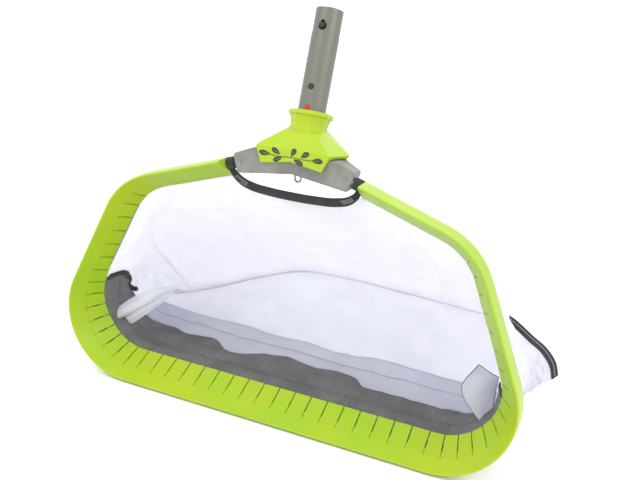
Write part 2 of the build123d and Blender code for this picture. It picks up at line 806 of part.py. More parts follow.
# ---- labels and export ----
pieces = {
    "scoop_blade": scoop_blade.part,
    "hoop_rod": hoop_rod.part,
    "net_sleeve": net_sleeve.part,
    "rim_tape": rim_tape.part,
    "bracket": bracket.part,
    "yoke_shell_front": yoke_shell_front.part,
    "yoke_shell_rear": yoke_shell_rear.part,
    "shell_screws": shell_screws.part,
    "rod_set_screws": rod_set_screws.part,
    "hanging_staple": hanging_staple.part,
    "handle_tube": handle_tube.part,
    "tube_rivet": tube_rivet.part,
    "clip_base": clip_base.part,
    "clip_arm_front": clip_arms["front"],
    "clip_arm_rear": clip_arms["rear"],
    "snap_button_front": snap_buttons["front"],
    "snap_button_rear": snap_buttons["rear"],
    "strap_top": strap_top.part,
    "strap_loop_left": strap_loops["left"],
    "strap_loop_right": strap_loops["right"],
    "wear_strip": wear_strip.part,
    "hem_band": hem_band.part,
    "bag_net": bag_net.part,
    "far_seam_binding": far_seam_binding.part,
    "corner_ear_left": ears["left"],
    "corner_ear_right": ears["right"],
}

os.makedirs("parts", exist_ok=True)
for name, piece in pieces.items():
    piece.label = name
    export_step(piece, f"parts/{name}.step")
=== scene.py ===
"""Looks of the deep-bag leaf skimmer net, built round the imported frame.

Lengths are metres.  "Head" coordinates are (x, depth, height): depth runs back from the scoop's
front lip and height up from its bottom lip, as the frame's makers measure the head.
"""

import logging
from dataclasses import dataclass, field
from enum import Enum
from math import cos, pi, radians, sin, tan

import bmesh
import bpy
import numpy as np
from mathutils import Matrix, Vector


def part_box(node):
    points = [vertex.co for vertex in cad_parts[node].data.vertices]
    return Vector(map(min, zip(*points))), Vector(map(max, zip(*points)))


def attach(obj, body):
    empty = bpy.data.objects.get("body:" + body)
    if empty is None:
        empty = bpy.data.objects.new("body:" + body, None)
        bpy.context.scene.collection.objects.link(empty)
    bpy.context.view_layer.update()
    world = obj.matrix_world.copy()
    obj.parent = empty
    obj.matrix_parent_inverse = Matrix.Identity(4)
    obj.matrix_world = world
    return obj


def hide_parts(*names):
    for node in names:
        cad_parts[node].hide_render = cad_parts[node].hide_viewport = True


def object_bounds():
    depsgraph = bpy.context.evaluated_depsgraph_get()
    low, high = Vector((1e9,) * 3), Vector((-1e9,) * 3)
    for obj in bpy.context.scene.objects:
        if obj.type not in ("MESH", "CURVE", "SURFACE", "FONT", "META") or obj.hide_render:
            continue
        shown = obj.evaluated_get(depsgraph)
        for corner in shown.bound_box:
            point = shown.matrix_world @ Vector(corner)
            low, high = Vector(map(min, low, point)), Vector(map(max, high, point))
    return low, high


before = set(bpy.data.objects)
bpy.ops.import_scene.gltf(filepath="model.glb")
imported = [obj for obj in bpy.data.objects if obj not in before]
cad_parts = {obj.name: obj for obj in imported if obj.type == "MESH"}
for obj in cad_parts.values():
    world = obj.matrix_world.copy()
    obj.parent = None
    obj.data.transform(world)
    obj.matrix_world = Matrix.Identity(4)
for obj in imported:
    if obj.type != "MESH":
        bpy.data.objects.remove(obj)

LOG = logging.getLogger("skimmer")
MM = 0.001
CAD_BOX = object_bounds()


# ---------------------------------------------------------------- head coordinates


class Head:
    """Places head coordinates in the frame, from the scoop blade's own box."""

    bead_bulge = 3.7 * MM
    lip_round = 0.07 * MM

    def __init__(self) -> None:
        """Finds where the front lip and the bottom lip lie."""
        low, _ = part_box("scoop_blade")
        self.shift = np.array([0.0, low.y - self.lip_round, low.z + self.bead_bulge])

    def place(self, points: np.ndarray) -> np.ndarray:
        """Moves head points into the frame.

        Args:
            points: any array of points in millimetres of head coordinates.

        Returns:
            The points in metres of the frame.
        """
        return np.asarray(points, float) * MM + self.shift


HEAD = Head()


# ---------------------------------------------------------------- curves as arrays


def unit(vectors: np.ndarray) -> np.ndarray:
    """Vectors of length one along the last axis."""
    return vectors / np.maximum(np.linalg.norm(vectors, axis=-1, keepdims=True), 1e-12)


def share_along(line: np.ndarray) -> np.ndarray:
    """Each point's share of a polyline's length, from 0 to 1.

    Args:
        line: points (n, dimension).

    Returns:
        An array (n,).
    """
    steps = np.linalg.norm(np.diff(line, axis=0), axis=1)
    along = np.concatenate([[0.0], np.cumsum(steps)])
    return along / along[-1]


def length_of(line: np.ndarray) -> float:
    """The length of a polyline."""
    return float(np.linalg.norm(np.diff(line, axis=0), axis=1).sum())


def at_share(line: np.ndarray, share: np.ndarray) -> np.ndarray:
    """Points of a polyline at shares of its length."""
    known = share_along(line)
    return np.stack([np.interp(share, known, line[:, k]) for k in range(line.shape[1])], axis=-1)


def smooth_line(points: list, count: int) -> np.ndarray:
    """A smooth curve through given points.

    Each span is a cubic whose end slopes are the chord between the neighbours (Catmull-Rom).

    Args:
        points: the points, in any dimension.
        count: how many points the result has, evenly spaced along it.

    Returns:
        An array of count points.
    """
    known = np.asarray(points, float)
    knots = share_along(known)
    fine = blend_rows(known[:, None, :], knots, np.linspace(0, 1, 12 * len(known)))[:, 0]
    return at_share(fine, np.linspace(0, 1, count))


def blend_rows(rows: np.ndarray, knots: np.ndarray, at: np.ndarray) -> np.ndarray:
    """Carries a stack of curves smoothly from the first to the last.

    Between two neighbouring rows each point follows a cubic Hermite whose slopes are the
    chords across each knot.

    Args:
        rows: an array (rows, points, dimension).
        knots: the parameter of each row, rising.
        at: the parameters wanted, the same for each point.

    Returns:
        An array (len(at), points, dimension).
    """
    slopes = np.empty_like(rows)
    span = np.diff(knots)
    chord = np.diff(rows, axis=0) / span[:, None, None]
    weight = (span[:-1] / (span[:-1] + span[1:]))[:, None, None]
    slopes[1:-1] = chord[:-1] * (1 - weight) + chord[1:] * weight
    slopes[0] = chord[0]
    slopes[-1] = chord[-1]
    index = np.clip(np.searchsorted(knots, at, side="right") - 1, 0, len(knots) - 2)
    step = span[index][:, None, None]
    t = ((at - knots[index]) / span[index])[:, None, None]
    start, stop = rows[index], rows[index + 1]
    low, high = slopes[index] * step, slopes[index + 1] * step
    return (
        start * (2 * t**3 - 3 * t**2 + 1)
        + low * (t**3 - 2 * t**2 + t)
        + stop * (3 * t**2 - 2 * t**3)
        + high * (t**3 - t**2)
    )


def ease(value: np.ndarray, low: float, high: float) -> np.ndarray:
    """Smooth step from 0 at low to 1 at high."""
    t = np.clip((value - low) / (high - low), 0, 1)
    return t * t * (3 - 2 * t)


def ripple(at: np.ndarray, across: np.ndarray, seed: int, scale: float, waves: int = 9) -> np.ndarray:
    """Smooth irregular height of about unit size, a sum of sine waves in random directions.

    Args:
        at: first coordinate.
        across: second coordinate, in the same unit.
        seed: picks the waves.
        scale: the typical distance between crests, in that unit.
        waves: how many waves are added.

    Returns:
        An array of the inputs' shape.
    """
    rng = np.random.default_rng(seed)
    angle = rng.uniform(0, 2 * pi, waves)
    phase = rng.uniform(0, 2 * pi, waves)
    rate = 2 * pi / (scale * rng.uniform(0.7, 1.6, waves))
    total = np.zeros(np.broadcast(at, across).shape)
    for turn, offset, pace in zip(angle, phase, rate):
        total += np.sin(pace * (at * cos(turn) + across * sin(turn)) + offset)
    return total / np.sqrt(waves / 2)


# ---------------------------------------------------------------- meshes from arrays


@dataclass
class Stock:
    """Vertices, faces and face-corner UVs gathered for one mesh."""

    points: list = field(default_factory=list)
    faces: list = field(default_factory=list)
    maps: list = field(default_factory=list)
    count: int = 0

    def add(self, points: np.ndarray, faces: list, maps: list) -> None:
        """Adds one part.

        Args:
            points: its vertices (n, 3).
            faces: arrays of vertex numbers (k, sides).
            maps: a UV array (k, sides, 2) for each of the face arrays.
        """
        self.points.append(points.reshape(-1, 3))
        self.faces.extend(f + self.count for f in faces)
        self.maps.extend(maps)
        self.count += len(self.points[-1])

    def build(self, name: str) -> bpy.types.Object:
        """Makes the smooth-shaded object.

        Args:
            name: its name.

        Returns:
            The object.
        """
        mesh = bpy.data.meshes.new(name)
        points = np.concatenate(self.points).astype(np.float32)
        loops = np.concatenate([f.ravel() for f in self.faces]).astype(np.int32)
        sizes = np.concatenate([np.full(len(f), f.shape[1]) for f in self.faces])
        starts = np.concatenate([[0], np.cumsum(sizes)[:-1]]).astype(np.int32)
        mesh.vertices.add(len(points))
        mesh.vertices.foreach_set("co", points.ravel())
        mesh.loops.add(len(loops))
        mesh.loops.foreach_set("vertex_index", loops)
        mesh.polygons.add(len(sizes))
        mesh.polygons.foreach_set("loop_start", starts)
        mesh.update(calc_edges=True)
        mesh.polygons.foreach_set("use_smooth", np.ones(len(sizes), bool))
        layer = mesh.uv_layers.new(name="cloth")
        uv = np.concatenate([m.reshape(-1, 2) for m in self.maps]).astype(np.float32)
        layer.uv.foreach_set("vector", uv.ravel())
        mesh.validate()
        return linked(name, mesh)


def linked(name: str, data: bpy.types.ID) -> bpy.types.Object:
    """Puts data into the scene as a new object.

    Args:
        name: the object's name.
        data: its mesh, camera or light.

    Returns:
        The object.
    """
    obj = bpy.data.objects.new(name, data)
    bpy.context.scene.collection.objects.link(obj)
    return obj


def grid_normals(grid: np.ndarray) -> np.ndarray:
    """Unit normals of a grid of points: the row step crossed with the column step."""
    return unit(np.cross(np.gradient(grid, axis=0), np.gradient(grid, axis=1)))


def metric_map(grid: np.ndarray) -> np.ndarray:
    """UVs in metres: mean distance along the columns and along the rows of a grid.

    Args:
        grid: points (rows, columns, 3).

    Returns:
        An array (rows, columns, 2).
    """
    rows, cols = grid.shape[:2]
    along = np.linalg.norm(np.diff(grid, axis=1), axis=-1).mean(axis=0)
    across = np.linalg.norm(np.diff(grid, axis=0), axis=-1).mean(axis=1)
    u = np.concatenate([[0], np.cumsum(along)])
    v = np.concatenate([[0], np.cumsum(across)])
    return np.stack(np.broadcast_arrays(u[None, :], v[:, None]), axis=-1).reshape(rows, cols, 2)


def add_sheet(stock: Stock, grid: np.ndarray, thickness: float, uv: np.ndarray | None = None) -> None:
    """Adds a thin closed shell: the grid moved half a thickness each way along its normals.

    Args:
        stock: the mesh that receives it.
        grid: points (rows, columns, 3).
        thickness: distance between its two faces; a number or an array (rows, columns).
        uv: one UV for each grid point, or None for distances in metres.
    """
    rows, cols = grid.shape[:2]
    uv = metric_map(grid) if uv is None else uv
    half = grid_normals(grid) * (np.broadcast_to(thickness, (rows, cols))[..., None] / 2)
    points = np.concatenate([(grid + half).reshape(-1, 3), (grid - half).reshape(-1, 3)])
    number = np.arange(rows * cols).reshape(rows, cols)
    a, b = number[:-1, :-1], number[:-1, 1:]
    d, c = number[1:, :-1], number[1:, 1:]
    top = np.stack([a, d, c, b], axis=-1).reshape(-1, 4)
    low = np.stack([a, b, c, d], axis=-1).reshape(-1, 4)
    edges = [
        np.stack([number[0, :-1], number[0, 1:]], axis=-1),
        np.stack([number[-1, 1:], number[-1, :-1]], axis=-1),
        np.stack([number[1:, 0], number[:-1, 0]], axis=-1),
        np.stack([number[:-1, -1], number[1:, -1]], axis=-1),
    ]
    edge = np.concatenate(edges)
    size = rows * cols
    rim = np.stack([edge[:, 0], edge[:, 1], edge[:, 1] + size, edge[:, 0] + size], axis=-1)
    flat = uv.reshape(-1, 2)
    stock.add(points, [top, low + size, rim], [flat[top], flat[low], flat[rim % size]])


def sheet_piece(name: str, grid: np.ndarray, thickness: float) -> bpy.types.Object:
    """A piece that is one thin closed shell round a grid of points.

    Args:
        name: the piece's name.
        grid: points (rows, columns, 3).
        thickness: distance between its two faces.

    Returns:
        The piece.
    """
    stock = Stock()
    add_sheet(stock, grid, thickness)
    return stock.build(name)


def add_rings(stock: Stock, rings: np.ndarray) -> None:
    """Adds a closed solid through rings of points, each end shut by one face.

    Args:
        stock: the mesh that receives it.
        rings: points (rings, points round each, 3), counter-clockwise seen against the path.
    """
    rows, cols = rings.shape[:2]
    number = np.arange(rows * cols).reshape(rows, cols)
    after = np.roll(number, -1, axis=1)
    wall = np.stack([number[:-1], after[:-1], after[1:], number[1:]], axis=-1).reshape(-1, 4)
    round_it = length_of(np.concatenate([rings[0], rings[0, :1]]))
    down = np.concatenate([[0], np.cumsum(np.linalg.norm(np.diff(rings[:, 0], axis=0), axis=-1))])
    turn = np.arange(cols + 1) / cols * max(round_it, 1e-6)
    u, v = turn[None, :], down[:, None]
    corner = [(u[:, :-1], v[:-1]), (u[:, 1:], v[:-1]), (u[:, 1:], v[1:]), (u[:, :-1], v[1:])]
    wall_map = np.stack([np.stack(np.broadcast_arrays(p, q), axis=-1) for p, q in corner], axis=2)
    ends = np.stack([number[0][::-1], number[-1]])
    end_map = np.zeros((2, cols, 2))
    stock.add(rings, [wall, ends], [wall_map.reshape(-1, 4, 2), end_map])


def tube_rings(path: np.ndarray, section: np.ndarray, up: np.ndarray) -> np.ndarray:
    """Carries a closed section along a path.

    Each ring lies across the path's tangent; the section's first axis points along the up
    vector made square to the tangent, and its second axis to the side.

    Args:
        path: points (n, 3).
        section: points (m, 2), or (n, m, 2) when it changes, counter-clockwise.
        up: a direction (3,) or one for each point (n, 3), never along the path.

    Returns:
        Rings (n, m, 3).
    """
    tangent = unit(np.gradient(path, axis=0))
    side = unit(np.cross(tangent, np.broadcast_to(up, path.shape)))
    lift = np.cross(side, tangent)
    section = np.broadcast_to(section, (len(path), *np.shape(section)[-2:]))
    return path[:, None] + section[..., :1] * lift[:, None] - section[..., 1:] * side[:, None]


def circle(radius: float, sides: int) -> np.ndarray:
    """Points round a circle, counter-clockwise."""
    angle = np.arange(sides) / sides * 2 * pi
    return radius * np.stack([np.cos(angle), np.sin(angle)], axis=-1)


def add_stitches(stock: Stock, path: np.ndarray, normal: np.ndarray, stitch: "Stitch") -> None:
    """Adds a row of sewn stitches, each a short arched thread with rounded ends.

    Args:
        stock: the mesh that receives them.
        path: points that the seam follows (n, 3).
        normal: the cloth's outward direction, (3,) or (n, 3).
        stitch: their sizes.
    """
    total = length_of(path)
    count = max(1, int(total / stitch.pitch))
    t = np.linspace(0, 1, 5)
    start = (np.arange(count) + 0.5 - stitch.share / 2) / count
    share = start[:, None] + t[None, :] * stitch.share / count
    centre = at_share(path, share)
    up = unit(at_share(np.broadcast_to(normal, path.shape), share))
    tangent = unit(np.gradient(centre, axis=1))
    side = unit(np.cross(tangent, up))
    centre = centre + up * (stitch.radius * (0.2 + 1.1 * np.sin(pi * t)))[None, :, None]
    radius = stitch.radius * np.array([0.45, 0.95, 1.0, 0.95, 0.45])[None, :, None, None]
    ring = circle(1.0, 6)
    rings = centre[:, :, None] + radius * (
        ring[None, None, :, :1] * up[:, :, None] - ring[None, None, :, 1:] * side[:, :, None]
    )
    for one in rings:
        add_rings(stock, one)


@dataclass(frozen=True)
class Stitch:
    """Sizes of one kind of stitch."""

    pitch: float = 3.1 * MM
    share: float = 0.78  # of the pitch that shows as thread
    radius: float = 0.32 * MM


# ---------------------------------------------------------------- shader values


@dataclass(frozen=True)
class Value:
    """One shader number, so that sums of them add their Math nodes."""

    bench: "Bench"
    socket: bpy.types.NodeSocket

    def __add__(self, other: "Value | float") -> "Value":
        """Sum."""
        return self.bench.math("ADD", self, other)

    __radd__ = __add__

    def __sub__(self, other: "Value | float") -> "Value":
        """Difference."""
        return self.bench.math("SUBTRACT", self, other)

    def __rsub__(self, other: float) -> "Value":
        """Difference from a number."""
        return self.bench.math("SUBTRACT", other, self)

    def __mul__(self, other: "Value | float") -> "Value":
        """Product."""
        return self.bench.math("MULTIPLY", self, other)

    __rmul__ = __mul__

    def __truediv__(self, other: "Value | float") -> "Value":
        """Quotient."""
        return self.bench.math("DIVIDE", self, other)

    def above(self, low: float, high: float) -> "Value":
        """Smooth step.

        Args:
            low: the value up to which the step is 0.
            high: the value from which it is 1.

        Returns:
            The step's value.
        """
        node = self.bench.add(
            "ShaderNodeMapRange",
            {"interpolation_type": "SMOOTHSTEP"},
            {"Value": self, "From Min": low, "From Max": high},
        )
        return Value(self.bench, node.outputs["Result"])


class Bench:
    """One material's node tree and the few ways of adding to it."""

    def __init__(self, name: str) -> None:
        """Starts an empty material.

        Args:
            name: the material's name.
        """
        self.material = bpy.data.materials.new(name + "_finish")
        self.material.use_nodes = True
        self.tree = self.material.node_tree
        self.tree.nodes.clear()

    def add(self, kind: str, settings: dict | None = None, inputs: dict | None = None) -> bpy.types.Node:
        """Adds one node.

        Args:
            kind: the node's type.
            settings: its own settings, set first; "stops" are a ramp's (place, colour) pairs.
            inputs: a value or a link for each named or numbered socket.

        Returns:
            The node.
        """
        node = self.tree.nodes.new(kind)
        for key, value in (settings or {}).items():
            if key == "stops":
                ramp = node.color_ramp.elements
                while len(ramp) < len(value):
                    ramp.new(0.5)
                for element, (place, colour) in zip(ramp, value):
                    element.position = place
                    element.color = (*colour, 1.0)
            else:
                setattr(node, key, value)
        for key, value in (inputs or {}).items():
            if isinstance(value, Value):
                self.tree.links.new(value.socket, node.inputs[key])
            elif isinstance(value, bpy.types.NodeSocket):
                self.tree.links.new(value, node.inputs[key])
            else:
                node.inputs[key].default_value = value
        return node

    def math(self, operation: str, *terms: "Value | float") -> Value:
        """A Math node on values and numbers."""
        node = self.add("ShaderNodeMath", {"operation": operation}, dict(enumerate(terms)))
        return Value(self, node.outputs[0])

    def mix(self, factor: "Value | float", first: object, second: object) -> bpy.types.NodeSocket:
        """Mixes two colours.

        Args:
            factor: share of the second, from 0 to 1.
            first: a colour or a colour socket.
            second: a colour or a colour socket.

        Returns:
            The mixed colour's socket.
        """
        inputs = {0: factor, 6: first, 7: second}
        for key in (6, 7):
            if isinstance(inputs[key], tuple):
                inputs[key] = (*inputs[key], 1.0)
        node = self.add("ShaderNodeMix", {"data_type": "RGBA"}, inputs)
        return node.outputs[2]

    def place(
        self, scale: tuple = (1, 1, 1), turn: tuple = (0, 0, 0), cloth: bool = False
    ) -> bpy.types.NodeSocket:
        """Object coordinates, or the piece's own UV, turned and then stretched.

        Args:
            scale: how much the pattern is squeezed along each axis.
            turn: rotation before the squeeze.
            cloth: True for the piece's own UV.

        Returns:
            A vector socket.
        """
        if cloth:
            source = self.add("ShaderNodeUVMap", {"uv_map": "cloth"})
        else:
            source = self.add("ShaderNodeTexCoord")
        start = source.outputs["UV" if cloth else "Object"]
        turned = self.add("ShaderNodeMapping", {}, {"Vector": start, "Rotation": turn})
        stretched = self.add("ShaderNodeMapping", {}, {"Vector": turned.outputs[0], "Scale": scale})
        return stretched.outputs[0]

    def noise(self, at: bpy.types.NodeSocket, scale: float, detail: float = 3.0, rough: float = 0.5) -> Value:
        """Cloudy noise from 0 to 1.

        Args:
            at: the coordinates.
            scale: clouds per unit of the coordinates.
            detail: how many finer layers are added.
            rough: how strong the finer layers are.

        Returns:
            The noise's value.
        """
        inputs = {"Vector": at, "Scale": scale, "Detail": detail, "Roughness": rough}
        node = self.add("ShaderNodeTexNoise", {}, inputs)
        return Value(self, node.outputs[0])

    def split(self, at: bpy.types.NodeSocket) -> tuple:
        """The three numbers of a vector."""
        node = self.add("ShaderNodeSeparateXYZ", {}, {0: at})
        return tuple(Value(self, out) for out in node.outputs)

    def bump(self, height: Value, distance: float, strength: float = 1.0) -> bpy.types.NodeSocket:
        """Turns a height from 0 to 1 into a normal, distance in metres at full height."""
        inputs = {"Height": height, "Distance": distance, "Strength": strength}
        return self.add("ShaderNodeBump", {}, inputs).outputs[0]

    def finish(self, inputs: dict, through: tuple | None = None, share: float = 0.0) -> bpy.types.Material:
        """Ends the material in a Principled shader, with a share of light let through.

        Args:
            inputs: values and links for the Principled node.
            through: the colour of light that shines through, or None.
            share: how much of the surface is that light.

        Returns:
            The finished material.
        """
        shader = self.add("ShaderNodeBsdfPrincipled", {}, inputs).outputs[0]
        if through is not None:
            glow = self.add("ShaderNodeBsdfTranslucent", {}, {"Color": (*through, 1.0)})
            shader = self.add("ShaderNodeMixShader", {}, {0: share, 1: shader, 2: glow.outputs[0]}).outputs[0]
        self.add("ShaderNodeOutputMaterial", {}, {"Surface": shader})
        return self.material


# ---------------------------------------------------------------- finishes


@dataclass(frozen=True)
class MouldedPlastic:
    """Semi-gloss moulded plastic: slow colour drift, orange peel, dulled handling marks."""

    name: str
    colour: tuple
    warm: tuple
    gloss: float = 0.33

    def make(self) -> bpy.types.Material:
        """Builds the material."""
        bench = Bench(self.name)
        at = bench.place()
        drift = bench.noise(at, 11.0, 2.0)
        cloud = bench.noise(at, 70.0, 4.0)
        peel = bench.noise(at, 1400.0, 2.0)
        rub = bench.noise(bench.place((30, 220, 40), (0.4, 0.2, 0.9)), 1.0, 6.0, 0.65).above(0.58, 0.72)
        speck = bench.noise(at, 900.0, 1.0).above(0.74, 0.80)
        base = bench.mix(drift.above(0.35, 0.7), self.colour, self.warm)
        dull = tuple(0.82 * c + 0.05 for c in self.colour)
        base = bench.mix((rub * 0.35 + speck * 0.3) * cloud, base, dull)
        rough = cloud * 0.10 + rub * 0.16 + (self.gloss - 0.05)
        normal = bench.bump(peel * 0.6 + cloud * 0.4, 0.00012, 0.55)
        return bench.finish({
            "Base Color": base,
            "Roughness": rough,
            "Normal": normal,
            "IOR": 1.47,
            "Specular IOR Level": 0.22,
        })


@dataclass(frozen=True)
class CastMetal:
    """Grey die-cast metal with a fine blasted grain and faint flow patches."""

    name: str
    colour: tuple
    metal: float = 0.55

    def make(self) -> bpy.types.Material:
        """Builds the material."""
        bench = Bench(self.name)
        at = bench.place()
        patch = bench.noise(at, 38.0, 4.0, 0.6)
        grain = bench.noise(at, 2600.0, 3.0, 0.6)
        pit = bench.noise(at, 620.0, 2.0).above(0.68, 0.76)
        dark = tuple(0.78 * c for c in self.colour)
        light = tuple(min(1.0, 1.18 * c) for c in self.colour)
        base = bench.mix(patch.above(0.3, 0.7), dark, light)
        base = bench.mix(pit * 0.5, base, dark)
        rough = 0.40 + patch * 0.14 + grain * 0.08
        normal = bench.bump(grain - pit * 0.6, 0.00016, 0.5)
        return bench.finish({
            "Base Color": base, "Roughness": rough, "Metallic": self.metal, "Normal": normal,
        })


@dataclass(frozen=True)
class DrawnMetal:
    """Drawn or brushed metal: fine streaks along one direction."""

    name: str
    colour: tuple
    turn: tuple = (0.0, 0.0, 0.0)  # rotation that brings the streaks onto Z
    rough: float = 0.30
    metal: float = 1.0

    def make(self) -> bpy.types.Material:
        """Builds the material."""
        bench = Bench(self.name)
        streak = bench.noise(bench.place((2200, 2200, 14), self.turn), 1.0, 4.0, 0.6)
        wide = bench.noise(bench.place((260, 260, 5), self.turn), 1.0, 3.0)
        cloud = bench.noise(bench.place(), 45.0, 3.0)
        mark = bench.noise(bench.place((900, 900, 60), (0.5, 0.3, 0.1)), 1.0, 2.0).above(0.70, 0.78)
        dark = tuple(0.80 * c for c in self.colour)
        light = tuple(min(1.0, 1.15 * c) for c in self.colour)
        base = bench.mix(streak * 0.55 + wide * 0.45, dark, light)
        base = bench.mix(cloud.above(0.55, 0.8) * 0.35 + mark * 0.3, base, dark)
        rough = streak * 0.16 + cloud * 0.10 + (self.rough - 0.10)
        normal = bench.bump(streak - mark * 0.5, 0.00006, 0.4)
        return bench.finish({
            "Base Color": base, "Roughness": rough, "Metallic": self.metal, "Normal": normal,
        })


@dataclass(frozen=True)
class WovenTape:
    """Narrow woven webbing: warp ribs along it, weft beads across it, painted shade in the hollows between
    the beads and worn pile.
    """

    name: str
    colour: tuple
    rib: float = 0.9 * MM
    bead: float = 0.62 * MM
    deep: float = 0.0003

    def make(self) -> bpy.types.Material:
        """Builds the material: two sets of stripes, the second shifted half a bead on every other rib."""
        bench = Bench(self.name)
        u, v, _ = bench.split(bench.place(cloth=True))
        row = v / self.rib
        lane = bench.math("FLOOR", row)
        shift = bench.math("PINGPONG", lane, 1.0) * 0.5
        along = bench.math("FRACT", u / self.bead + shift)
        across = bench.math("FRACT", row)
        hump = bench.math("SINE", along * pi) * bench.math("SINE", across * pi)
        fuzz = bench.noise(bench.place((1, 1, 1)), 2400.0, 2.0)
        wear = bench.noise(bench.place(), 90.0, 4.0, 0.6)
        lift = tuple(min(1.0, 2.1 * c + 0.02) for c in self.colour)
        # painted shade: the colour falls to under half in the hollows between the weave's beads
        dark = tuple(0.45 * c for c in self.colour)
        base = bench.mix(hump, dark, self.colour)
        base = bench.mix(wear.above(0.5, 0.8) * hump * 0.7 + fuzz.above(0.62, 0.8) * 0.25, base, lift)
        normal = bench.bump(hump * 0.85 + fuzz * 0.15, self.deep, 0.9)
        rough = 0.72 + fuzz * 0.2
        return bench.finish({
            "Base Color": base, "Roughness": rough, "Normal": normal,
            "Sheen Weight": 0.12, "Sheen Roughness": 0.5,
        })


@dataclass(frozen=True)
class OpenNet:
    """Open woven net: crossing threads with holes between them, and painted shade in cloudy crumpled patches.
    """

    name: str
    thread: tuple
    pitch: float
    cover: float  # share of the pitch that a thread fills
    veil: float  # alpha of the holes
    through: tuple
    share: float  # light let through
    # how deep the painted shade of crumpled patches is
    crumple_shade: float = 0.10
    turn: float = 0.0
    moire: float = 0.0  # contrast of the bands where two layers' threads beat against each other

    def make(self) -> bpy.types.Material:
        """Builds the material: a thread's mask is 1 near the middle of each pitch, both ways."""
        bench = Bench(self.name)
        at = bench.place((1, 1, 1), (0, 0, self.turn), cloth=True)
        wobble = bench.noise(bench.place(), 160.0, 2.0) * (0.35 * self.pitch)
        u, v, _ = bench.split(at)
        masks = []
        for line in (u + wobble, v + wobble):
            place = bench.math("FRACT", line / self.pitch)
            off = bench.math("ABSOLUTE", place - 0.5) * 2.0
            masks.append(1.0 - off.above(self.cover - 0.12, self.cover + 0.12))
        grid = bench.math("MAXIMUM", masks[0], masks[1])
        knot = masks[0] * masks[1]
        cloud = bench.noise(bench.place(), 34.0, 4.0, 0.6)
        crease = bench.noise(bench.place((1.0, 0.6, 1.6)), 120.0, 5.0, 0.62)
        # painted shade: cloudy patches darkened as if shaded in crumples
        dim = tuple(c * (1 - 2.2 * self.crumple_shade) for c in self.thread)
        base = bench.mix(cloud.above(0.35, 0.75), dim, self.thread)
        beat = bench.noise(bench.place(), 22.0, 2.0) * 0.05 + u * 0.83 + v * 0.56
        band = bench.math("SINE", beat * (2 * pi / (4.2 * self.pitch))) * 0.5 + 0.5
        band = band * cloud.above(0.25, 0.75) * self.moire
        base = bench.mix(band, base, tuple(0.45 * c for c in self.thread))
        base = bench.mix(knot * 0.25, base, tuple(min(1.0, 1.15 * c) for c in self.thread))
        alpha = self.veil + (grid * 0.8 + band * 0.2) * (1 - self.veil) * (0.88 + 0.12 * cloud)
        normal = bench.bump(grid * 0.4 + crease * 0.6, 0.0006, 0.6)
        return bench.finish(
            {"Base Color": base, "Roughness": 0.55 + crease * 0.25, "Alpha": alpha, "Normal": normal},
            self.through,
            self.share,
        )


@dataclass(frozen=True)
class Thread:
    """Twisted sewing thread or printed ink with a little fuzz."""

    name: str
    colour: tuple
    rough: float = 0.6

    def make(self) -> bpy.types.Material:
        """Builds the material."""
        bench = Bench(self.name)
        twist = bench.noise(bench.place((1, 1, 1), (0.6, 0.5, 0.0)), 1900.0, 3.0, 0.6)
        cloud = bench.noise(bench.place(), 150.0, 3.0)
        lift = tuple(min(1.0, 1.7 * c + 0.02) for c in self.colour)
        base = bench.mix(twist * 0.6 + cloud * 0.3, self.colour, lift)
        normal = bench.bump(twist, 0.00008, 0.6)
        return bench.finish({"Base Color": base, "Roughness": self.rough + twist * 0.2, "Normal": normal})


@dataclass(frozen=True)
class PaleFloor:
    """Plain pale studio floor with a barely seen mottle."""

    name: str = "studio_floor"

    def make(self) -> bpy.types.Material:
        """Builds the material."""
        bench = Bench(self.name)
        cloud = bench.noise(bench.place(), 3.0, 3.0)
        base = bench.mix(cloud, (0.93, 0.93, 0.93), (0.95, 0.95, 0.95))
        return bench.finish({"Base Color": base, "Roughness": 0.8 + cloud * 0.1})


HANDLE_LEAN = radians(12.7)
PLANK_TURN = (-HANDLE_LEAN, 0.0, 0.0)


class Finish(Enum):
    """Every finish of the object, named by its record slot where it has one."""

    LIME = MouldedPlastic("lime_plastic", (0.292, 0.450, 0.022), (0.345, 0.455, 0.020))
    RED = MouldedPlastic("red_plastic", (0.42, 0.035, 0.03), (0.5, 0.05, 0.04), 0.42)
    ROD = DrawnMetal("rod_aluminium", (0.42, 0.43, 0.42), (0, radians(90), 0))
    TUBE = DrawnMetal("tube_aluminium", (0.185, 0.183, 0.160), PLANK_TURN, 0.36, 0.80)
    CAST = CastMetal("cast_aluminium", (0.190, 0.191, 0.168), 0.15)
    ZINC = DrawnMetal("zinc_steel", (0.30, 0.30, 0.29), (0, 0, 0), 0.34)
    OXIDE = DrawnMetal("black_steel", (0.035, 0.035, 0.04), (0, 0, 0), 0.42, 0.6)
    WEBBING = WovenTape("black_webbing", (0.020, 0.024, 0.024))
    DARK_MESH = OpenNet(
        "dark_mesh", (0.235, 0.235, 0.228), 2.3 * MM, 0.56, 0.38, (0.50, 0.50, 0.49), 0.24,
        crumple_shade=0.22, turn=radians(9), moire=0.85,
    )
    WHITE_NET = OpenNet(
        "white_net", (0.90, 0.90, 0.945), 0.9 * MM, 0.50, 0.45, (0.92, 0.92, 0.98), 0.46,
        crumple_shade=0.05,
    )
    WHITE_TAPE = OpenNet(
        "white_tape", (0.72, 0.725, 0.80), 1.1 * MM, 0.60, 0.50, (0.84, 0.84, 0.93), 0.34,
        crumple_shade=0.08, moire=0.30,
    )
    BLACK_THREAD = Thread("black_thread", (0.012, 0.012, 0.014))
    GREY_THREAD = Thread("grey_thread", (0.16, 0.16, 0.17))
    WHITE_THREAD = Thread("white_thread", (0.72, 0.72, 0.76))
    INK = Thread("black_ink", (0.010, 0.010, 0.010), 0.35)

    def material(self) -> bpy.types.Material:
        """The finish's material, made once."""
        known = bpy.data.materials.get(self.value.name + "_finish")
        return known or self.value.make()


def coat(data: bpy.types.Mesh, finish: Finish) -> None:
    """Puts one finish on a mesh in place of all it had."""
    data.materials.clear()
    data.materials.append(finish.material())


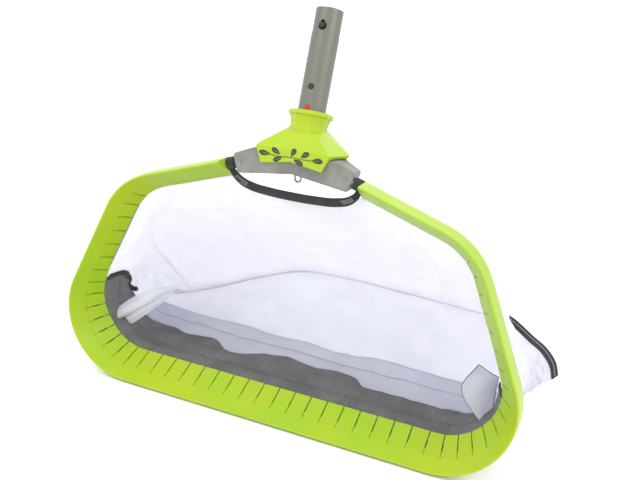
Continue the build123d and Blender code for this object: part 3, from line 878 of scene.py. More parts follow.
def settle(obj: bpy.types.Object, finish: Finish, nodes: tuple = ()) -> None:
    """Gives a new piece its finish, hides the frame's nodes that it stands for and hangs it on the fixed
    body.

    Args:
        obj: the piece.
        finish: what it is coated with.
        nodes: the frame's nodes that it stands for.
    """
    coat(obj.data, finish)
    if nodes:
        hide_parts(*nodes)
    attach(obj, "root")


# ---------------------------------------------------------------- hard parts


@dataclass
class HardParts:
    """The frame's own rigid nodes: their finishes, and softened edges on the mouldings."""

    voxel: float = 0.62 * MM
    edge_passes: int = 6
    cast_passes: int = 9
    merge: float = 0.004 * MM
    finishes: dict = field(default_factory=lambda: {
        Finish.LIME: ["scoop_blade", "yoke_shell_front", "yoke_shell_rear"],
        Finish.ROD: ["hoop_rod"],
        Finish.CAST: ["bracket"],
        Finish.TUBE: ["handle_tube"],
        Finish.ZINC: ["hanging_staple", "shell_screws", "rod_set_screws"],
        Finish.OXIDE: [
            "clip_base", "clip_arm_front", "clip_arm_rear", "snap_button_front", "snap_button_rear",
        ],
        Finish.RED: ["tube_rivet"],
    })

    def dress(self) -> None:
        """Puts each node's finish on it."""
        for finish, nodes in self.finishes.items():
            for node in nodes:
                coat(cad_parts[node].data, finish)

    def rounded_copy(self, node: str, name: str, passes: int) -> bpy.types.Object:
        """A merged copy of a node whose edges are rounded by remeshing and relaxing it.

        Args:
            node: the frame's node.
            name: the new piece's name.
            passes: how often the remeshed surface is relaxed; more rounds the edges further.

        Returns:
            The new object.
        """
        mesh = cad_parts[node].data.copy()
        mesh.name = name
        work = bmesh.new()
        work.from_mesh(mesh)
        bmesh.ops.remove_doubles(work, verts=work.verts, dist=self.merge)
        work.to_mesh(mesh)
        work.free()
        obj = linked(name, mesh)
        remesh = obj.modifiers.new("even_mesh", "REMESH")
        remesh.mode = "VOXEL"
        remesh.voxel_size = self.voxel
        remesh.use_smooth_shade = True
        relax = obj.modifiers.new("edge_rounding", "SMOOTH")
        relax.factor = 0.5
        relax.iterations = passes
        return obj

    def build(self) -> None:
        """Dresses the nodes and replaces the mouldings by rounded copies."""
        self.dress()
        rounded = (
            ("yoke_shell_front", "collar_front_shell", self.edge_passes, Finish.LIME, "lime_plastic"),
            ("yoke_shell_rear", "collar_rear_shell", self.edge_passes, Finish.LIME, "lime_plastic"),
            ("bracket", "cast_bracket", self.cast_passes, Finish.CAST, "cast_aluminium"),
        )
        for node, name, passes, finish, slot in rounded:
            settle(self.rounded_copy(node, name, passes), finish, (node,))


# ---------------------------------------------------------------- the mouth's outline


@dataclass(frozen=True)
class Mouth:
    """The hoop's open outline, with the same driving sizes as the frame, in millimetres."""

    lip_half_width: float = 295.0
    shoulder_half_width: float = 191.0
    shoulder_height: float = 230.0
    arm_slope: float = radians(17.9)
    corner_radius: float = 76.0
    arm_end: float = 74.0

    @property
    def apex(self) -> float:
        """Height at which the two arms' lip lines would meet."""
        return self.shoulder_height + self.shoulder_half_width * tan(self.arm_slope)

    def corners(self, inset: float) -> list:
        """Right lower corner and right shoulder, moved inwards.

        Args:
            inset: how far, square to the sides.

        Returns:
            The two points.
        """
        low = np.array([self.lip_half_width, 0.0])
        high = np.array([self.shoulder_half_width, self.shoulder_height])
        rise = (high - low) / np.linalg.norm(high - low)
        along = [np.array([1.0, 0.0]), rise, np.array([-cos(self.arm_slope), sin(self.arm_slope)])]
        inward = [np.array([-d[1], d[0]]) for d in along]
        result = []
        for corner, one, two in ((low, inward[0], inward[1]), (high, inward[1], inward[2])):
            result.append(corner + (one + two) * (inset / (1 + one @ two)))
        return result

    def arm_height(self, x: float, inset: float) -> float:
        """Height of an arm's inset line at a distance from the middle."""
        return self.apex - x * tan(self.arm_slope) - inset / cos(self.arm_slope)


MOUTH = Mouth()


def filleted(corners: np.ndarray, radii: list, per_corner: int = 24) -> tuple:
    """A closed polygon with round corners.

    Each corner is replaced by the arc that touches both its sides; a point of the arc is the
    centre plus the radius turned evenly from one side to the other.

    Args:
        corners: points (n, 2), counter-clockwise.
        radii: one radius each.
        per_corner: points on each arc.

    Returns:
        The closed polyline (m, 2) and, for each corner, the number of its middle point.
    """
    points, middles = [], []
    count = len(corners)
    for k, radius in enumerate(radii):
        here = corners[k]
        back = unit(corners[k - 1] - here)
        ahead = unit(corners[(k + 1) % count] - here)
        half = np.arccos(np.clip(back @ ahead, -1, 1)) / 2
        reach = radius / np.tan(half)
        centre = here + unit(back + ahead) * (radius / np.sin(half))
        start, stop = here + back * reach - centre, here + ahead * reach - centre
        turn = np.arctan2(start[0] * stop[1] - start[1] * stop[0], start @ stop)
        angle = np.linspace(0, 1, per_corner) * turn
        spin_x = np.cos(angle) * start[0] - np.sin(angle) * start[1]
        spin_y = np.sin(angle) * start[0] + np.cos(angle) * start[1]
        middles.append(len(points) * per_corner + per_corner // 2)
        points.append(centre + np.stack([spin_x, spin_y], axis=-1))
    return np.concatenate(points), middles


@dataclass
class Section:
    """One closed section of the bag: corners (x, depth, height) and a radius each."""

    corners: list
    radii: list

    def loop(self, counts: list) -> np.ndarray:
        """Points round the section, so many from each corner's middle to the next.

        Args:
            counts: points on each of the stretches between corners.

        Returns:
            An array (sum of counts, 3), starting at the first corner.
        """
        corner = np.asarray(self.corners, float)
        line, middles = filleted(corner[:, [0, 2]], self.radii)
        depth_at = np.concatenate([corner[:, 1], corner[:1, 1]])
        closed = np.concatenate([line[middles[0]:], line[:middles[0] + 1]])
        starts = [m - middles[0] for m in middles] + [len(line)]
        parts = []
        for k, count in enumerate(counts):
            stretch = closed[starts[k]:starts[k + 1] + 1]
            share = np.arange(count) / count
            flat = at_share(stretch, share)
            blend = share * share * (3 - 2 * share)
            depth = depth_at[k] * (1 - blend) + depth_at[k + 1] * blend
            parts.append(np.stack([flat[:, 0], depth, flat[:, 1]], axis=-1))
        return np.concatenate(parts)


# ---------------------------------------------------------------- the sewn bag


@dataclass(frozen=True)
class Fold:
    """One soft fold that runs from the rim to the far seam."""

    at: float  # place round the upper panel at the rim, 0 left corner to 1 right corner
    lean: float  # how far it has moved at the seam
    width: float
    height: float  # millimetres
    sharp: float = 1.0  # how much steeper its left side is


@dataclass
class Bag:
    """The sewn pouch: one skin through four sections and the far seam, cut into its cloths."""

    net_thickness: float = 0.5 * MM
    strip_thickness: float = 0.9 * MM
    hem_thickness: float = 0.8 * MM
    rim_depth: float = 36.0
    rim_inset: float = 14.6
    past_depth: float = 56.0
    past_inset: float = 20.6
    stretches: tuple = (120, 76, 50, 50, 76, 120, 200)  # points between the seven corners
    rows: int = 110
    knots: tuple = (0.0, 0.085, 0.35, 0.60, 1.0)
    seam: tuple = (
        (-238, 196, 30), (-193, 225, 40), (-130, 245, 65), (-66, 250, 87), (10, 252, 91), (84, 250, 89),
        (173, 243, 88), (208, 235, 88), (245, 205, 79), (262, 184, 76), (273, 165, 70), (277, 151, 63),
    )
    webbing_thickness: float = 1.5 * MM
    webbing_start: float = 0.3  # where the webbing starts, outside the seam line
    webbing_width: float = 9.0
    flap_thickness: float = 0.7 * MM
    binding_thickness: float = 1.1 * MM
    binding_half_width: float = 3.6
    strip_start: float = 0.012  # row share at which the wear strip starts
    strip_rows: tuple = (0.100, 0.112)  # row shares of its two rows of stitches
    webbing_lift: float = 1.25  # how much it stands up for each unit that it stands out
    seam_x: tuple = (277, 212, 88, 4, -78, -186, -238)  # where each corner's line meets the seam
    edge_line: tuple = (
        (-1.1, 0.345), (-0.84, 0.365), (-0.74, 0.355), (-0.64, 0.320), (-0.52, 0.350),
        (-0.40, 0.262), (-0.23, 0.310), (-0.09, 0.368), (0.04, 0.318), (0.21, 0.358),
        (0.34, 0.250), (0.46, 0.268), (0.60, 0.246), (0.85, 0.275), (1.1, 0.330),
    )
    folds: tuple = (
        Fold(0.110, 0.00, 0.020, 3.4, 1.6),
        Fold(0.205, -0.085, 0.010, 4.6, 2.2),
        Fold(0.250, -0.03, 0.030, 2.6),
        Fold(0.380, -0.010, 0.012, 3.6, 2.2),
        Fold(0.455, 0.010, 0.040, 2.4),
        Fold(0.545, -0.010, 0.034, 2.4),
        Fold(0.640, 0.006, 0.011, 4.4, 2.4),
        Fold(0.700, 0.010, 0.030, 2.8),
        Fold(0.800, 0.020, 0.016, 3.4, 1.6),
        Fold(0.885, 0.010, 0.022, 3.0, 1.4),
    )

    def sections(self) -> list:
        """The four sections, rim first, each listed from the right lower corner over the top."""
        rim_low, rim_high = MOUTH.corners(self.rim_inset)
        past_low, past_high = MOUTH.corners(self.past_inset)
        arm = MOUTH.arm_end
        rim_arm = MOUTH.arm_height(arm, self.rim_inset)
        past_arm = MOUTH.arm_height(arm, self.past_inset)
        d, e = self.rim_depth, self.past_depth
        rim = Section([
            (rim_low[0], d, rim_low[1]), (rim_high[0], d, rim_high[1]), (arm, d - 3, rim_arm),
            (0, 24.5, 241.0), (-arm, d - 3, rim_arm), (-rim_high[0], d, rim_high[1]),
            (-rim_low[0], d, rim_low[1]),
        ], [61.4, 61.4, 22.0, 160.0, 22.0, 61.4, 61.4])
        past = Section([
            (past_low[0], e, past_low[1]), (past_high[0], e - 2, past_high[1] - 2),
            (arm, e - 4, past_arm - 4), (0, 44.0, 231.0), (-arm, e - 4, past_arm - 4),
            (-past_high[0], e - 2, past_high[1] - 2),
            (-past_low[0], e, past_low[1]),
        ], [55.4, 55.4, 24.0, 150.0, 24.0, 55.4, 55.4])
        middle = Section([
            (279, 120, 22), (207, 112, 171), (92, 110, 203), (2, 110, 197),
            (-88, 110, 203), (-205, 112, 168), (-274, 118, 22),
        ], [44.0, 48.0, 60.0, 160.0, 60.0, 48.0, 44.0])
        deep = Section([
            (281, 138, 31), (213, 180, 114), (108, 180, 150), (6, 178, 148),
            (-100, 178, 150), (-212, 172, 116), (-262, 158, 28),
        ], [24.0, 34.0, 60.0, 160.0, 60.0, 34.0, 24.0])
        return [rim, past, middle, deep]

    def skin(self) -> np.ndarray:
        """The whole pouch in head millimetres, folds left out.

        The first four curves are the sections' loops; the last is the far seam, gone along
        from the right end over the top to the left end and back underneath.

        Returns:
            An array (rows, points round, 3).
        """
        loops = [section.loop(list(self.stretches)) for section in self.sections()]
        seam = smooth_line(list(self.seam), 400)
        marks = list(np.interp(self.seam_x, seam[:, 0], np.linspace(0, 1, len(seam))))
        marks.append(marks[0])
        share = []
        for k, count in enumerate(self.stretches):
            step = np.arange(count) / count
            share.append(marks[k] + (marks[k + 1] - marks[k]) * step)
        loops.append(at_share(seam, np.concatenate(share)))
        at = np.linspace(0, 1, self.rows)
        skin = blend_rows(np.stack(loops), np.array(self.knots), at)
        bottom = self.bottom_mask(skin.shape[1])
        flat = ease(at, 0.10, 0.16) * (1 - ease(at, 0.45, 0.62))
        skin[..., 2] -= flat[:, None] * bottom[None, :] * 0.8
        return skin

    def bottom_mask(self, count: int) -> np.ndarray:
        """1 along the floor, falling to 0 at its two corners.

        Args:
            count: points round the skin.

        Returns:
            An array (count,).
        """
        first = sum(self.stretches[:-1])
        share = (np.arange(count) - first) / (count - first)
        return ease(share, 0.0, 0.12) * (1 - ease(share, 0.88, 1.0))

    def fold_height(self, share: np.ndarray, down: np.ndarray) -> np.ndarray:
        """Height of the folds in millimetres, inwards.

        A fold is a bell across its width, steeper on one side; it swells from nothing at the
        rim and dies out at the seam.

        Args:
            share: place round the upper panel, 0 at the left corner.
            down: place from the rim, 0, to the seam, 1.

        Returns:
            Heights of the inputs' broadcast shape.
        """
        total = np.zeros(np.broadcast(share, down).shape)
        for fold in self.folds:
            off = share - fold.at - fold.lean * down
            width = np.where(off < 0, fold.width / fold.sharp, fold.width)
            total += fold.height * np.exp(-((off / width) ** 2))
        envelope = ease(down, 0.02, 0.30) * (1 - ease(down, 0.72, 1.0) * 0.85)
        return total * envelope

    def shaped(self) -> np.ndarray:
        """The skin with its folds, gathers and slack, in head millimetres."""
        skin = self.skin()
        rows, cols = skin.shape[:2]
        down = np.linspace(0, 1, rows)[:, None]
        top = sum(self.stretches[:-1])
        normal = grid_normals(skin)
        inward = normal * self.inward_sign(skin, normal)
        walk = np.concatenate([[0], np.cumsum(np.linalg.norm(np.diff(skin[rows // 3], axis=0), axis=1))])
        walk = walk[None, :] * MM
        reach = down * 0.24
        upper = (1 - np.arange(cols) / top)[None, :]
        upper_mask = ease(upper, 0.01, 0.06) * (1 - ease(upper, 0.94, 0.99)) * (upper >= 0)
        folds = self.fold_height(np.clip(upper, 0, 1), down) * upper_mask
        gather = ripple(walk, reach * 0.15, 5, 0.013) * np.exp(-down / 0.16) * ease(down, 0.015, 0.07) * 0.9
        slack = ripple(walk, reach * 0.8, 11, 0.085) * 1.5
        slack = slack * ease(down, 0.06, 0.3) * (1 - ease(down, 0.85, 1.0))
        fine = ripple(walk, reach, 23, 0.030, 12) * 0.45
        fine = fine * ease(down, 0.04, 0.2) * (1 - ease(down, 0.9, 1.0))
        side = np.exp(-(((upper - 0.06) / 0.05) ** 2)) + np.exp(-(((upper - 0.94) / 0.05) ** 2))
        crush = ripple(walk, reach * 1.4, 31, 0.022, 12) * side * ease(down, 0.05, 0.3) * 1.6
        floor = self.bottom_mask(cols)[None, :]
        calm = 1 - 0.55 * floor * (1 - ease(down, 0.40, 0.60))
        height = folds + gather + (slack + fine) * calm + crush * (1 - ease(down, 0.9, 1.0))
        return skin + inward * height[..., None]

    def patch(self, skin: np.ndarray, column: np.ndarray, row: np.ndarray, lift: float) -> np.ndarray:
        """Points of the skin at fractional columns and rows, lifted inwards.

        Args:
            skin: the shaped skin.
            column: columns, which may pass the end and start again.
            row: rows as shares from the rim, 0, to the seam, 1.
            lift: distance inwards, in millimetres.

        Returns:
            Points of the broadcast shape of column and row, with a last axis of 3.
        """
        rows, cols = skin.shape[:2]
        column, row = np.broadcast_arrays(column, row)
        normal = grid_normals(np.concatenate([skin, skin[:, :1]], axis=1))[:, :cols]
        inward = normal * self.inward_sign(skin, normal)
        level = np.clip(row, 0, 1) * (rows - 1)
        i = np.minimum(level.astype(int), rows - 2)
        j = np.floor(column).astype(int)
        s, t = (level - i)[..., None], (column - j)[..., None]
        moved = skin + inward * lift

        def mix(field_: np.ndarray) -> np.ndarray:
            """Bilinear value of a field on the skin.

            Args:
                field_: an array of the skin's shape.

            Returns:
                An array of the shape of column, with a last axis of 3.
            """
            low = field_[i, j % cols] * (1 - t) + field_[i, (j + 1) % cols] * t
            high = field_[i + 1, j % cols] * (1 - t) + field_[i + 1, (j + 1) % cols] * t
            return low * (1 - s) + high * s

        return mix(moved)

    @staticmethod
    def inward_sign(skin: np.ndarray, normal: np.ndarray) -> float:
        """1 when the normals point to the bag's inside, else -1."""
        middle = skin.mean(axis=(0, 1))
        return float(np.sign(np.median(((middle - skin) * normal).sum(axis=-1))))

    def column_at_height(self, skin: np.ndarray, height: float, right: bool, row: float = 0.0) -> float:
        """The column of a side wall that is at a height.

        Args:
            skin: the shaped skin.
            height: the height, in head millimetres.
            right: True for the right wall.
            row: place from the rim, 0, to the seam, 1.

        Returns:
            A fractional column.
        """
        line = skin[int(row * (self.rows - 1))]
        if right:
            side = line[: self.stretches[0]]
            return float(np.interp(height, side[:, 2], np.arange(len(side))))
        first = sum(self.stretches[:5])
        side = line[first : first + self.stretches[5]]
        return first + float(np.interp(-height, -side[:, 2], np.arange(len(side))))

    def strip_edges(self, skin: np.ndarray, row: np.ndarray) -> tuple:
        """Left and right end columns of the wear strip.

        Args:
            skin: the shaped skin.
            row: places from the rim, 0, to the seam, 1.

        Returns:
            The left columns and the right ones, both of row's shape.
        """
        cols = skin.shape[1]
        left_high = self.column_at_height(skin, 101.0, False, 0.1)
        left_low = self.column_at_height(skin, 60.0, False, 0.32)
        right_high = self.column_at_height(skin, 82.0, True, 0.1) + cols
        right_low = self.column_at_height(skin, 52.0, True, 0.32) + cols
        blend = ease(row, 0.08, 0.36)
        bow = np.sin(pi * np.clip(row / 0.36, 0, 1)) * 4
        return left_high + (left_low - left_high) * blend - bow, right_high + (right_low - right_high) * blend

    def strip_edge(self, column: np.ndarray) -> np.ndarray:
        """Row share at which the wear strip's uneven back edge runs.

        Args:
            column: columns of the skin.

        Returns:
            An array of column's shape.
        """
        first = sum(self.stretches[:-1])
        x = (column - first) / self.stretches[-1] * 2 - 1
        place, level = np.array(self.edge_line).T
        fine = 0.006 * np.sin(23 * x) + 0.004 * np.sin(51 * x + 1)
        line = smooth_line([tuple(q) for q in self.edge_line], 240)
        edge = np.interp(x, line[:, 0], line[:, 1], left=level[0], right=level[-1])
        return edge + fine * (np.abs(x) < place[-1])

    def hem_edge(self, column: np.ndarray) -> np.ndarray:
        """Row share at which the hem band's back edge runs, further back towards the right.

        Args:
            column: columns of the skin.

        Returns:
            An array of column's shape.
        """
        first = sum(self.stretches[:-1])
        x = (column - first) / self.stretches[-1] * 2 - 1
        return 0.605 + 0.055 * np.clip(x, 0, 1) + 0.006 * np.sin(4 * x)

    def build(self) -> None:
        """Builds and dresses every cloth of the bag."""
        skin = self.shaped()
        self.net(skin)
        self.strip(skin)
        self.hem(skin)
        self.seam_binding()
        self.side_bindings(skin)
        self.ears()
        LOG.info("bag finished")

    def net(self, skin: np.ndarray) -> None:
        """The upper panel and the floor panel of white net.

        Args:
            skin: the shaped skin.
        """
        top = sum(self.stretches[:-1])
        cols = skin.shape[1]
        upper = skin[:, : top + 1]
        lower = np.concatenate([skin[:, top:], skin[:, :1]], axis=1)
        for name, grid in (("upper_net_panel", upper), ("floor_net_panel", lower)):
            grid = grid[:, ::2] if (grid.shape[1] - 1) % 2 == 0 else grid
            points = HEAD.place(grid)
            obj = sheet_piece(name, points, self.net_thickness)
            settle(obj, Finish.WHITE_NET, ("bag_net",))
            self.declare(points)
        LOG.info("net panels over %d columns", cols)

    def declare(self, points: np.ndarray) -> None:
        """Works out the diagonal cross products of a cloth grid's quads and keeps nothing.

        Args:
            points: its grid of middle points.
        """
        quads = np.cross(points[1:, 1:] - points[:-1, :-1], points[1:, :-1] - points[:-1, 1:])

    def strip(self, skin: np.ndarray) -> None:
        """The heavy dark mesh along the floor's front and up both lower sides, with its stitching.

        Args:
            skin: the shaped skin.
        """
        share = np.linspace(0, 1, 330)[None, :]
        row = np.linspace(0.0, 1, 46)[:, None]
        left, right = self.strip_edges(skin, self.strip_start + row * 0.33)
        column = left + (right - left) * share
        level = self.strip_start + row * (self.strip_edge(column) - self.strip_start)
        grid = HEAD.place(self.patch(skin, column, level, 0.9))
        obj = sheet_piece("wear_strip_mesh", grid, self.strip_thickness)
        settle(obj, Finish.DARK_MESH, ("wear_strip",))
        self.declare(grid)
        seams = Stock()
        for place in self.strip_rows:
            low, high = self.strip_edges(skin, np.array(place))
            line = np.linspace(float(low) + 6, float(high) - 6, 700)
            path = HEAD.place(self.patch(skin, line, np.full_like(line, place), 1.6))
            normal = unit(HEAD.place(self.patch(skin, line, np.full_like(line, place), 3.0)) - path)
            add_stitches(seams, path, normal, Stitch(3.3 * MM, 0.55, 0.24 * MM))
        settle(seams.build("wear_strip_stitching"), Finish.BLACK_THREAD)

    def hem(self, skin: np.ndarray) -> None:
        """The doubled white band behind the wear strip, its turned edge and its stitching.

        Args:
            skin: the shaped skin.
        """
        cols = skin.shape[1]
        first = sum(self.stretches[:-1])
        start, stop = first + 3, cols + 1
        share = np.linspace(0, 1, 300)[None, :]
        row = np.linspace(0, 1, 18)[:, None]
        column = start + (stop - start) * share
        low = self.strip_edge(column) - 0.025
        high = self.hem_edge(column)
        level = low + row * (high - low)
        lift = 1.9 + 0.9 * row**2 * ease(row, 0.5, 1.0)
        grid = HEAD.place(self.patch(skin, column, level, 0.0))
        inward = HEAD.place(self.patch(skin, column, level, 1.0)) - grid
        grid = grid + inward * lift[..., None]
        obj = sheet_piece("hem_band_cloth", grid, self.hem_thickness)
        settle(obj, Finish.WHITE_TAPE, ("hem_band",))
        self.declare(grid)
        seams = Stock()
        for place, radius in ((0.45, 0.27 * MM), (0.955, 0.16 * MM)):
            line = np.linspace(0.01, 0.99, 600)[None, :]
            column = start + (stop - start) * line
            height = self.hem_edge(column) * place + (1 - place) * 0.33 + 0.006 * np.sin(11 * line)
            base = self.patch(skin, column, height, 2.6)[0]
            above = self.patch(skin, column, height, 4.6)[0]
            add_stitches(seams, HEAD.place(base), unit(above - base), Stitch(3.4 * MM, 0.72, radius))
        settle(seams.build("hem_stitching"), Finish.BLACK_THREAD)

    def seam_binding(self) -> None:
        """Black webbing folded over the far seam: a flat band standing out from the seam line."""
        seam = smooth_line(list(self.seam), 240)
        tangent = unit(np.gradient(seam, axis=0))
        out = unit(np.cross(tangent, np.array([0.0, 0.0, 1.0])))
        out = out * np.sign((out * (seam - np.array([0, 100, 60]))).sum(axis=1, keepdims=True))
        out = unit(out + np.array([0.0, 0.0, self.webbing_lift]))
        width = np.linspace(self.webbing_start, self.webbing_start + self.webbing_width, 9)
        sag = ripple(share_along(seam)[:, None], width[None, :] * 0.0, 41, 0.16) * 0.7
        grid = seam[:, None] + out[:, None] * width[None, :, None]
        grid[..., 2] += sag * (width[None, :] / self.webbing_width)
        points = HEAD.place(grid).transpose(1, 0, 2)
        obj = sheet_piece("far_seam_webbing", points[::-1], self.webbing_thickness)
        settle(obj, Finish.WEBBING, ("far_seam_binding",))
        self.declare(points)
        seams = Stock()
        line = grid[:, 4] + np.array([0, 0, 0.9])
        add_stitches(seams, HEAD.place(line), np.array([0.0, 0.0, 1.0]), Stitch(3.0 * MM, 0.7, 0.28 * MM))
        settle(seams.build("far_seam_stitching"), Finish.WHITE_THREAD)

    def side_bindings(self, skin: np.ndarray) -> None:
        """Black tape over the wear strip's upper end on each side, with a zigzag where it stops.

        Args:
            skin: the shaped skin.
        """
        stock, zigzag = Stock(), Stock()
        level = np.linspace(0.02, 0.375, 60)
        left, right = self.strip_edges(skin, level)
        for line, sign in ((left, -1.0), (right, 1.0)):
            across = np.linspace(-self.binding_half_width, self.binding_half_width, 7)
            per_column = 1.3
            column = line[None, :] + across[:, None] / per_column
            bulge = 1.7 + 1.0 * (1 - (across / self.binding_half_width) ** 2)[:, None]
            flat = self.patch(skin, column, level[None, :], 0.0)
            raised = self.patch(skin, column, level[None, :], 1.0)
            grid = HEAD.place(flat + (raised - flat) * bulge[..., None])
            add_sheet(stock, grid, self.binding_thickness)
            turns = np.arange(15)
            height = 0.30 + turns * 0.0055
            place = np.interp(height, level, line) + 3.0 * (-1.0) ** turns + sign
            path = HEAD.place(self.patch(skin, place, height, 4.0))
            path = smooth_line([tuple(p) for p in path], 120)
            add_rings(zigzag, tube_rings(path, circle(0.36 * MM, 6), np.array([0.3, -0.9, 0.4])))
        settle(stock.build("side_edge_bindings"), Finish.WEBBING)
        settle(zigzag.build("side_binding_zigzags"), Finish.BLACK_THREAD)

    def ears(self) -> None:
        """The folded loop of net in the left corner and the flap in the right one."""
        loop = smooth_line([
            (-172, 100, 84), (-182, 84, 83), (-200, 68, 71), (-218, 60, 57), (-231, 56, 45), (-236, 57, 39),
            (-232, 61, 35), (-221, 66, 40), (-207, 72, 51), (-193, 82, 63), (-176, 98, 78),
        ], 200)
        t = np.linspace(0, 1, 200)[:, None]
        angle = (np.arange(60) / 60 * 2 * pi)[None, :]
        swell = np.clip(np.sin(pi * (0.01 + 0.98 * t)), 0.02, 1) ** 0.6
        broad = (7.8 - 1.7 * np.exp(-(((t - 0.48) / 0.09) ** 2)) + 0.6 * np.sin(9 * t)) * swell
        pleat = 1 + 0.09 * np.cos(5 * angle + 6 * t) + 0.06 * np.cos(9 * angle - 14 * t)
        pleat = pleat + 0.03 * np.cos(17 * angle)
        section = np.stack([0.62 * broad * np.cos(angle) * pleat, broad * np.sin(angle) * pleat], axis=-1)
        stock = Stock()
        add_rings(stock, HEAD.place(tube_rings(loop, section, np.array([0.25, -0.95, 0.2]))))
        settle(stock.build("left_corner_loop"), Finish.WHITE_NET, ("corner_ear_left",))
        high = smooth_line([(205, 62, 98), (214, 66, 92), (226, 76, 84)], 40)
        middle = smooth_line([(193, 60, 66), (208, 62, 62), (226, 68, 58)], 40)
        low = smooth_line([(222, 60, 32), (227, 62, 34), (231, 66, 38)], 40)
        rows = blend_rows(np.stack([high, middle, low]), np.array([0.0, 0.5, 1.0]), np.linspace(0, 1, 60))
        share = np.linspace(0, 1, 60)[:, None]
        rows[..., 1] += 0.9 * np.sin(2 * pi * (share * 0.7 + np.linspace(0, 1, 40)[None, :] * 0.9))
        grid = HEAD.place(rows)
        flap = sheet_piece("right_corner_flap", grid, self.flap_thickness)
        settle(flap, Finish.WHITE_TAPE, ("corner_ear_right",))
        self.declare(grid)
        edge = np.concatenate([rows[::-1, 0], rows[0], rows[:, -1]])
        edge = np.concatenate([edge, rows[-1, ::-1]])
        edge = edge[np.r_[True, np.linalg.norm(np.diff(edge, axis=0), axis=1) > 1e-6]]
        trim = Stock()
        path = at_share(HEAD.place(edge), np.linspace(0, 1, 260))
        add_rings(trim, tube_rings(path, circle(0.45 * MM, 6), np.array([0.1, -1.0, 0.05])))
        settle(trim.build("right_flap_edging"), Finish.BLACK_THREAD)


# ---------------------------------------------------------------- rim tape, sleeve and strap


@dataclass
class Rim:
    """Fabric held in the scoop's bead: the frame's own sleeve and tape, in black."""

    def build(self) -> None:
        """Gives the two frame nodes their finish."""
        for node in ("rim_tape", "net_sleeve"):
            coat(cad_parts[node].data, Finish.BLACK_THREAD)


@dataclass
class Strap:
    """The webbing across the bracket: a hanging band, its two rod loops and their bar tacks."""

    width: float = 8.6
    steps: int = 160  # points along the band's middle line
    thickness: float = 1.3 * MM
    depth: float = 21.7
    rod_depth: float = 20.7
    loop_x: float = 67.9
    loop_inset: float = 2.9  # how far the rod's centre lies inside the lip line
    wrap_thickness: float = 0.9 * MM
    wrap_radius: float = 5.0
    wrap_growth: float = 1.1  # how much wider the second turn ends than the first began
    wrap_slide: float = 2.2  # how far the two turns creep along the rod
    wrap_half_width: float = 3.6
    tack_half_width: float = 2.9
    line: tuple = (
        (-70, 262), (-66, 257), (-58, 250.5), (-45, 246), (-25, 243.8), (0, 243), (25, 243.4), (48, 245.5),
        (60, 249), (67, 255), (70, 261),
    )

    def middle_line(self) -> tuple:
        """The band's middle line in the mouth's plane, and the direction across it at each point."""
        flat = smooth_line(list(self.line), self.steps)
        tangent = unit(np.gradient(flat, axis=0))
        return flat, np.stack([-tangent[:, 1], tangent[:, 0]], axis=-1)

    def band(self) -> None:
        """The hanging band: its width lies square to its middle line."""
        flat, across = self.middle_line()
        share = np.linspace(0, 1, self.steps)
        pinch = 1 - 0.30 * (np.exp(-((share / 0.07) ** 2)) + np.exp(-(((1 - share) / 0.07) ** 2)))
        rib = np.linspace(-0.5, 0.5, 9)
        offset = rib[:, None] * self.width * pinch[None, :]
        x = flat[:, 0] + across[:, 0] * offset
        z = flat[:, 1] + across[:, 1] * offset
        curl = 1.1 * (2 * rib[:, None]) ** 2 * (0.4 + 0.6 * np.sin(pi * share))[None, :]
        crease = 1.2 * np.exp(-((share - 0.10) / 0.03) ** 2) * np.sin(9 * rib)[:, None]
        grid = HEAD.place(np.stack([x, self.depth + curl + crease, z], axis=-1))
        band = sheet_piece("strap_band", grid, self.thickness)
        settle(band, Finish.WEBBING, ("strap_top",))

    def loops(self) -> None:
        """Two turns of webbing round the bare rod, each spiralling a little along it."""
        lean = MOUTH.arm_slope
        for name, side in (("left", -1), ("right", 1)):
            angle = np.linspace(0.0, 4 * pi, 150)
            slide = (angle / (4 * pi) - 0.5) * self.wrap_slide
            radius = self.wrap_radius + self.wrap_growth * angle / (4 * pi)
            height = MOUTH.arm_height(self.loop_x, self.loop_inset)
            direction = np.array([side * cos(lean), 0.0, -sin(lean)])
            lift = np.array([side * sin(lean), 0.0, cos(lean)])
            ahead = np.array([0.0, -1.0, 0.0])
            centre = np.array([side * self.loop_x, self.rod_depth, height])
            ring = centre + radius[:, None] * (np.cos(angle)[:, None] * lift + np.sin(angle)[:, None] * ahead)
            across = np.linspace(-self.wrap_half_width, self.wrap_half_width, 7)
            grid = ring[None] + direction * (across[:, None, None] + slide[None, :, None])
            wrap = sheet_piece(f"strap_wrap_{name}", HEAD.place(grid), self.wrap_thickness)
            settle(wrap, Finish.WEBBING, (f"strap_loop_{name}",))

    def tacks(self) -> None:
        """Zigzag bar tacks near both ends of the band."""
        flat, across = self.middle_line()
        stock = Stock()
        for start, stop, turns in ((0.07, 0.17, 16), (0.85, 0.93, 13)):
            share = np.linspace(start, stop, turns)
            middle = at_share(flat, share)
            aside = at_share(across, share) * (self.tack_half_width * (-1.0) ** np.arange(turns))[:, None]
            zig = middle + aside
            depth = np.full((turns, 1), self.depth - 0.9)
            path = smooth_line([tuple(p) for p in np.hstack([zig[:, :1], depth, zig[:, 1:]])], 10 * turns)
            add_rings(stock, tube_rings(HEAD.place(path), circle(0.24 * MM, 6), np.array([0.0, -1.0, 0.0])))
        settle(stock.build("strap_bar_tacks"), Finish.GREY_THREAD)

    def build(self) -> None:
        """Builds the band, its loops and its tacks."""
        self.band()
        self.loops()
        self.tacks()


# ---------------------------------------------------------------- plate emblem


